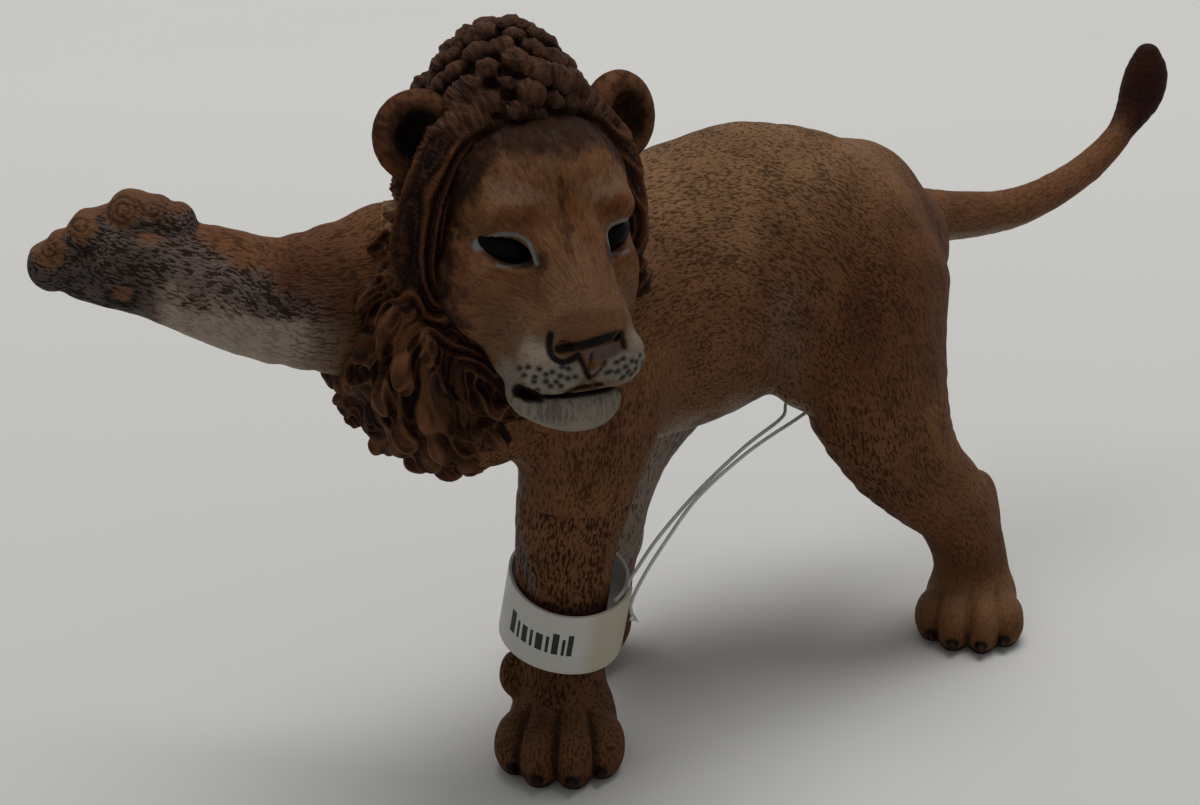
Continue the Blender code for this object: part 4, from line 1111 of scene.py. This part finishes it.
def new_group(name, inputs, outputs):
    """An empty node group with named sockets; returns the tree, its inputs as values and its output node."""
    tree = bpy.data.node_groups.new(name, "ShaderNodeTree")
    for label, kind in inputs.items():
        tree.interface.new_socket(name=label, in_out="INPUT", socket_type=kind)
    for label, kind in outputs.items():
        tree.interface.new_socket(name=label, in_out="OUTPUT", socket_type=kind)
    given = tree.nodes.new("NodeGroupInput")
    return tree, [Value(tree, given.outputs[label]) for label in inputs], tree.nodes.new("NodeGroupOutput")


def use_group(tree, group, inputs):
    made = tree.nodes.new("ShaderNodeGroup")
    made.node_tree = group
    feed(tree, made, inputs)
    return [Value(tree, socket) for socket in made.outputs]


def paint_grain_group():
    """Uneven brushed paint: a mottled copy of the colour, and a fine height for the bump."""
    tree, (colour, mottle), out = new_group(
        "paint_grain", {"Color": "NodeSocketColor", "Mottle": "NodeSocketFloat"},
        {"Color": "NodeSocketColor", "Height": "NodeSocketFloat"})
    place = object_place(tree)
    small = noise(place, 3000.0, 2.0, 0.6)
    lift = (noise(place, 260.0, 3.0) * 0.6 + small * 0.4 - 0.5) * mottle
    tint = node_value(tree, "ShaderNodeHueSaturation", "Color", {"Value": lift * 4.0 + 1.0, "Color": colour})
    feed(tree, out, {"Color": tint, "Height": small})
    return tree


def short_fur_group():
    """Short engraved hair: dark grooves and a height, from places measured along and across the hair."""
    tree, (place, across, along), out = new_group(
        "short_fur", {"Place": "NodeSocketVector", "Across": "NodeSocketFloat", "Along": "NodeSocketFloat"},
        {"Groove": "NodeSocketFloat", "Height": "NodeSocketFloat"})
    size = node_value(tree, "ShaderNodeCombineXYZ", 0, {0: across, 1: across, 2: along})
    place = node_value(tree, "ShaderNodeVectorMath", 0, {0: place, 1: size}, operation="MULTIPLY")
    sway = noise(place, 0.13, 1.0)
    level = noise(place, 1.0, 1.6, 0.5, 0.35) - (sway - 0.5) * 0.25
    feed(tree, out, {"Groove": spread(level, 0.52, 0.38), "Height": level})
    return tree


# Paints, linear, in the order they go on: the mask or value that says where, how strongly, and the colour.
# The lighter tan laid on by the "light" masks is painted top light: tops of the back, head and toes painted
# lighter as if lit from above.
TAN, TOP_LIT_TAN = (0.136, 0.058, 0.024), (0.190, 0.100, 0.048)
WASH, BLACK = (0.010, 0.0035, 0.002), (0.004, 0.003, 0.003)
# The coat's "dark" paint is random darker tone and partly painted shade, low on the legs and at the rear of
# the torso.
COAT_PAINTS = (
    ("light", 1, TOP_LIT_TAN), ("dark", 1, (0.060, 0.021, 0.009)), ("lilac", 1, (0.110, 0.078, 0.064)),
    ("beige", 1, (0.290, 0.235, 0.185)), ("palm", 1, (0.075, 0.058, 0.048)),
    ("toe_pads", 1, (0.125, 0.058, 0.029)), ("tuft", 1, (0.026, 0.008, 0.004)),
    ("groove", 0.85, WASH), ("black", 1, BLACK),
)
HEAD_PAINTS = (
    ("light", 0.4, TOP_LIT_TAN), ("rust", 0.8, (0.085, 0.026, 0.007)), ("pale", 1, (0.150, 0.092, 0.058)),
    ("shade", 1, (0.015, 0.0042, 0.0018)), ("white", 1, (0.190, 0.165, 0.132)),
    ("leather", 1, (0.105, 0.074, 0.064)), ("groove", 0.62, WASH), ("ear", 1, BLACK),
    ("mouth", 1, (0.022, 0.005, 0.004)), ("rim", 1, (0.150, 0.165, 0.160)), ("black", 1, BLACK),
)
MANE_PAINTS = (
    ("crest", 1, (0.013, 0.0045, 0.0027)), ("ring", 1, (0.026, 0.0068, 0.0025)),
    ("beside", 1, (0.019, 0.0045, 0.0017)), ("groove", 0.6, (0.004, 0.0015, 0.001)),
)
# The pit colour is painted shade in the mane's low hollows, pits and gaps between strands; the ridge colours
# are painted highlight on its raised lumps, veins and strands, and also colour the light strands by the
# temple.
MANE_BROWN, MANE_PIT_SHADE = (0.036, 0.0105, 0.0045), (0.003, 0.0012, 0.001)
RIDGE_TAN = (0.125, 0.052, 0.022)
RIDGE_PAINTS = (("crest", 1, (0.092, 0.040, 0.022)), ("ring", 1, (0.080, 0.029, 0.0115)))


def painted(tree, colour, paints, **values):
    """The colour under paints, each laid on where a value of its name or else a mask says."""
    for label, strength, over in paints:
        share = values[label] if label in values else mask(tree, label)
        colour = mixed(share * strength, colour, over)
    return colour


def finish_paint(tree, shader, grain, colour, mottle, roughness, strength, extra_height=0.0):
    tinted, fine = use_group(tree, grain, {"Color": colour, "Mottle": mottle})
    bump = node_value(tree, "ShaderNodeBump", "Normal", {
        "Height": fine * 0.15 + extra_height, "Strength": strength, "Distance": 0.00035})
    feed(tree, shader, {
        "Base Color": tinted, "Roughness": roughness, "Specular IOR Level": 0.06, "Normal": bump})


def lying_fur(tree, fur, across, along):
    """Grooves and height of hair that lies one way on most of a piece and hangs where it is marked."""
    laid, hung = (
        use_group(tree, fur, {"Place": mask(tree, label, "Vector"), "Across": across, "Along": along})
        for label in ("hair", "falling_hair"))
    drop, depth = mask(tree, "drop"), mask(tree, "depth")
    groove, height = (between(drop, *pair) * depth for pair in zip(laid, hung))
    return groove.least(1.0), height


def coat_material(grain, fur):
    material, tree, shader = new_material("coat_paint")
    groove, relief = lying_fur(tree, fur, 4.1, 1.1)
    colour = painted(tree, TAN, COAT_PAINTS, groove=groove)
    finish_paint(tree, shader, grain, colour, 0.30, spread(groove, 0, 1, 0.62, 0.8), 0.8, relief)
    return material


def head_material(grain, fur):
    material, tree, shader = new_material("head_paint")
    groove, relief = lying_fur(tree, fur, 3.4, 0.8)
    black = mask(tree, "black")
    colour = painted(tree, TAN, HEAD_PAINTS, groove=groove, black=black.most(mask(tree, "hole")))
    finish_paint(tree, shader, grain, colour, 0.30, spread(black, 0, 1, 0.7, 0.55), 0.7, relief)
    return material


def mane_material(grain, fur):
    material, tree, shader = new_material("mane_paint")

    def ridged(level, width):
        return spread(abs(level), 0.03, width, 1, 0)

    def lines(places, low):
        """Bright lines where the places pass each whole number."""
        return spread(abs(places.fraction() - 0.5) * 2.0, low, 0.95)

    crest, ring, ridge, hollow_shade, wave, wide, thin = (
        mask(tree, label) for label in ("crest", "ring", "ridge", "hollow_shade", "strand", "wide", "thin"))
    groove, height = use_group(
        tree, fur, {"Place": mask(tree, "hair", "Vector"), "Across": 2.6, "Along": 0.35})
    veins = ridged(wide, 0.26).most(ridged(thin, 0.30) * 0.6)
    pits = spread(abs(wide), 0.30, 0.62) * (1.0 - veins)
    strand = lines(wave, 0.40).most(lines(wave * 2.7 + thin * 0.5, 0.35) * 0.6)
    gap = (1.0 - lines(wave, 0.05)) * (1.0 - strand)
    # Painted highlight on the raised ridges, veins and strands, and painted shade in the low hollows, pits
    # and gaps between strands.
    lit = between(ring, ridge.most(veins * between(crest, 0.90, 0.35)), strand)
    sunk = hollow_shade.most(pits * between(crest, 0.85, 0.3)) * (1.0 - veins * 0.6)
    base = painted(tree, MANE_BROWN, MANE_PAINTS, crest=crest, ring=ring, groove=groove)
    high = painted(tree, RIDGE_TAN, RIDGE_PAINTS, crest=crest, ring=ring)
    colour = mixed(spread(lit, 0.10, 1.0), base, high)
    colour = mixed(between(ring, sunk, gap) * 0.95, colour, MANE_PIT_SHADE)
    height = height * 0.5 + between(ring, veins, strand) * 0.5 - pits * 0.5
    finish_paint(tree, shader, grain, colour, 0.35, 0.62, 0.7, height)
    return material


def clear_material(name, scale, detail, levels, colours, finish):
    """A smooth material whose colour drifts a little between two."""
    material, tree, shader = new_material(name)
    share = spread(noise(object_place(tree), scale, detail), *levels)
    feed(tree, shader, {"Base Color": mixed(share, *colours), **finish})
    return material


def eye_material():
    colours = (0.0012, 0.0010, 0.0010), (0.0035, 0.0028, 0.0028)
    finish = {"Roughness": 0.30, "Specular IOR Level": 0.03}
    return clear_material("eye_gloss", 900.0, 2.0, (0.4, 0.7), colours, finish)


def nylon_material():
    colours = (0.50, 0.51, 0.49), (0.66, 0.67, 0.64)
    finish = {"Roughness": 0.16, "Transmission Weight": 0.35, "IOR": 1.5}
    return clear_material("nylon_clear", 700.0, 1.0, (0.0, 1.0), colours, finish)


# The tag: a thin strip bent into a ring that leans on the foreleg, and its clear nylon loop.
TAG_AT = np.array((1.248, -11.232, 17.664))
TAG_LEAN, TAG_LAP = np.array((0.24, -0.04, 1.0)), np.array((1.0, 1.0, 0.0))
STRIP_HALF_WIDTH, STRIP_THICKNESS, STRIP_EDGE = 3.7, 0.36, 0.00005
STRIP_ROUND = (6.3, 6.93)
STRIP_START, STRIP_END, STRIP_FLAP, FLAP_INSET = -34, 352, 90, 0.7
STRIP_STEPS, STRIP_ROWS = 120, 12
STRIP_TWIST = 0.12
HOLE_TURN, HOLE_AT = -12, 348
NYLON_DIAMETER, NYLON_POINTS = 0.0004, 90
LOOP = (
    (6.29, -6.91, 17.41), (6.79, -5.62, 20.42), (7.10, -2.38, 23.81), (7.01, 2.59, 27.20),
    (6.31, 11.23, 29.50), (5.21, 20.30, 30.27), (4.20, 24.34, 30.40), (3.00, 25.78, 30.59),
    (1.99, 24.48, 30.78), (2.40, 21.60, 30.85), (4.39, 18.58, 30.59), (5.81, 11.02, 29.89),
    (6.50, 2.88, 27.39), (6.50, -2.88, 24.19), (5.90, -5.40, 21.31),
)


def tag_axes():
    lean = unit(TAG_LEAN)
    lap = square_to(TAG_LAP, lean)
    return np.stack([lap, np.cross(lean, lap), lean], 1)


def strip_point(degrees, outwards_by, along):
    angle = math.radians(degrees)
    inset = FLAP_INSET * (1 - ramp(degrees, STRIP_START, STRIP_START + STRIP_FLAP)) - outwards_by
    local = ((STRIP_ROUND[0] - inset) * math.cos(angle), (STRIP_ROUND[1] - inset) * math.sin(angle), along)
    return TAG_AT + tag_axes() @ np.array(local)


def make_strip(material):
    half = STRIP_THICKNESS / 2
    heights = np.linspace(-STRIP_HALF_WIDTH, STRIP_HALF_WIDTH, STRIP_ROWS + 1)
    section = [(half, h) for h in heights] + [(-half, h) for h in heights[::-1]]
    points, tags = [], []
    for degrees in np.linspace(STRIP_START, STRIP_END, STRIP_STEPS + 1):
        for out, height in section:
            twist = STRIP_TWIST * math.sin(math.radians(3 * degrees + 40)) * (height / STRIP_HALF_WIDTH)
            points.append(strip_point(degrees, out + twist, height))
            tags.append((degrees, height, out > 0))
    ring = len(section)
    corners = np.arange(ring)
    beyond = np.roll(corners, -1)
    walls = np.stack([corners, corners + ring, beyond + ring, beyond], 1)
    rows = np.arange(STRIP_ROWS)
    cap = np.stack([rows, rows + 1, ring - 2 - rows, ring - 1 - rows], 1)
    faces = [walls + step * ring for step in range(STRIP_STEPS)]
    faces += [cap, cap[:, ::-1] + STRIP_STEPS * ring]
    masks = dict(zip(("turn", "height", "outer"), np.array(tags, float).T))
    piece = piece_from(
        "tag_strip", np.array(points), np.concatenate(faces), material, masks, "tag")
    edge = piece.modifiers.new("soft edge", "BEVEL")
    edge.width = STRIP_EDGE
    edge.segments = 2
    edge.limit_method = "ANGLE"
    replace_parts(piece, "tag_band")


# Plain printed bars stand where real tags carry words: start, width and height of each, in degrees and mm.
PRINTED_BARS = ((211, 7, 2.3), (221, 3, 1.7), (227, 6, 1.7), (236, 3, 1.7), (242, 7, 1.7), (252, 3, 1.7),
                (258, 6, 2.3), (267, 3, 1.7), (272, 5, 2.3))


def strip_material(grain):
    material, tree, shader = new_material("tag_plastic")
    turn, height = mask(tree, "turn"), mask(tree, "height")
    ink = None
    for start, width, tall in PRINTED_BARS:
        bar = abs(turn - (start + width / 2)).below(width / 2)
        bar = bar * abs(height - (-0.3 + (tall - 1.6) / 2)).below(tall / 2 + 0.2)
        ink = bar if ink is None else ink.most(bar)
    colour = mixed(spread(turn, 284, 300), (0.50, 0.49, 0.455), (0.42, 0.385, 0.30))
    colour = mixed(ink * mask(tree, "outer").above(0.9) * 0.95, colour, (0.012, 0.012, 0.012))
    finish_paint(tree, shader, grain, colour, 0.06, 0.42, 0.15)
    return material


def make_loop(material):
    hole = strip_point(HOLE_AT, 0, 0)
    out = tag_axes() @ np.array((math.cos(math.radians(HOLE_TURN)), math.sin(math.radians(HOLE_TURN)), 0))
    home = [strip_point(HOLE_AT, -0.25, height) for height in (4.8, 4.0)]
    smooth = eased([hole + 0.5 * out, hole + 1.3 * out, *LOOP, *home], 8)
    run = run_along(smooth)
    even = np.linspace(0, run[-1], NYLON_POINTS)
    path = np.stack([np.interp(even, run, smooth[:, n]) for n in range(3)], 1)
    path = (path + FIGURE_AT) * MM
    curve = bpy.data.curves.new("tag_line", "CURVE")
    curve.dimensions = "3D"
    curve.bevel_depth = NYLON_DIAMETER / 2
    curve.bevel_resolution = 3
    curve.use_fill_caps = True
    spline = curve.splines.new("POLY")
    spline.points.add(len(path) - 1)
    for point, place in zip(spline.points, path):
        point.co = (*place, 1)
    spline.use_smooth = True
    line = dressed(put("tag_line", curve), material, "tag")
    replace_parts(line, "tag_thread")


# Stage: a pale floor painted darker towards the camera as painted shade, one soft light from above and
# behind, and a plain surround.
FLOOR_HALF = 3.0
FLOOR_COLOURS, FLOOR_SPECK = ((0.56, 0.56, 0.545), (0.66, 0.66, 0.645)), (0.50, 0.50, 0.49)
SURROUND_LIGHT, SURROUND_SHOWN = (1.0, 0.995, 0.98), (0.60, 0.60, 0.585)
LIGHT_AT, LIGHT_AIM = (-0.12, 0.16, 2.0), (0, 0, 0.03)
LIGHT_SIZE, LIGHT_POWER, LIGHT_TINT = 1.3, 26.0, (1.0, 0.99, 0.97)


def make_floor():
    mesh = bpy.data.meshes.new("floor")
    corners = [(x * FLOOR_HALF, y * FLOOR_HALF, 0) for x, y in ((-1, -1), (1, -1), (1, 1), (-1, 1))]
    mesh.from_pydata(corners, [], [(0, 1, 2, 3)])
    material, tree, shader = new_material("floor_card")
    place = object_place(tree)
    x, y = (node_value(tree, "ShaderNodeSeparateXYZ", axis, {0: place}) for axis in (0, 1))
    # Painted shade: the floor's colour darkens towards the camera.
    colour = mixed(spread(y - x, -0.12, 0.35), *FLOOR_COLOURS)
    colour = mixed(noise(place, 30.0, 2.0) * 0.06, colour, FLOOR_SPECK)
    feed(tree, shader, {"Base Color": colour, "Roughness": 0.75})
    mesh.materials.append(material)
    put("floor", mesh)


def set_stage():
    scene = bpy.context.scene
    scene.view_settings.view_transform = "Standard"
    scene.world = bpy.data.worlds.new("surround")
    scene.world.use_nodes = True
    tree = scene.world.node_tree
    lamp = tree.nodes["Background"]
    feed(tree, lamp, {"Color": SURROUND_LIGHT, "Strength": 0.30})
    shown = node_value(tree, "ShaderNodeBackground", 0, {"Color": SURROUND_SHOWN, "Strength": 1.0})
    camera, glossy, through = (node_value(tree, "ShaderNodeLightPath", f"Is {kind} Ray", {})
                               for kind in ("Camera", "Glossy", "Transmission"))
    blend = node_value(tree, "ShaderNodeMixShader", 0, {
        0: camera.most(glossy.most(through)), 1: Value(tree, lamp.outputs[0]), 2: shown})
    feed(tree, tree.nodes["World Output"], {"Surface": blend})
    make_floor()
    light = bpy.data.lights.new("ceiling_light", "AREA")
    light.size = LIGHT_SIZE
    light.energy = LIGHT_POWER
    light.color = LIGHT_TINT
    put("ceiling_light", light, LIGHT_AT, LIGHT_AIM)


place_camera()
grain = paint_grain_group()
make_loop(nylon_material())
make_strip(strip_material(grain))
fur = short_fur_group()
coat = coat_material(grain, fur)
for name in COAT_PIECES:
    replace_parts(make_coat(name, coat), name)
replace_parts(make_head(head_material(grain, fur)), "head")
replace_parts(make_mane(mane_material(grain, fur)), "mane")
make_eyes(eye_material())
set_stage()
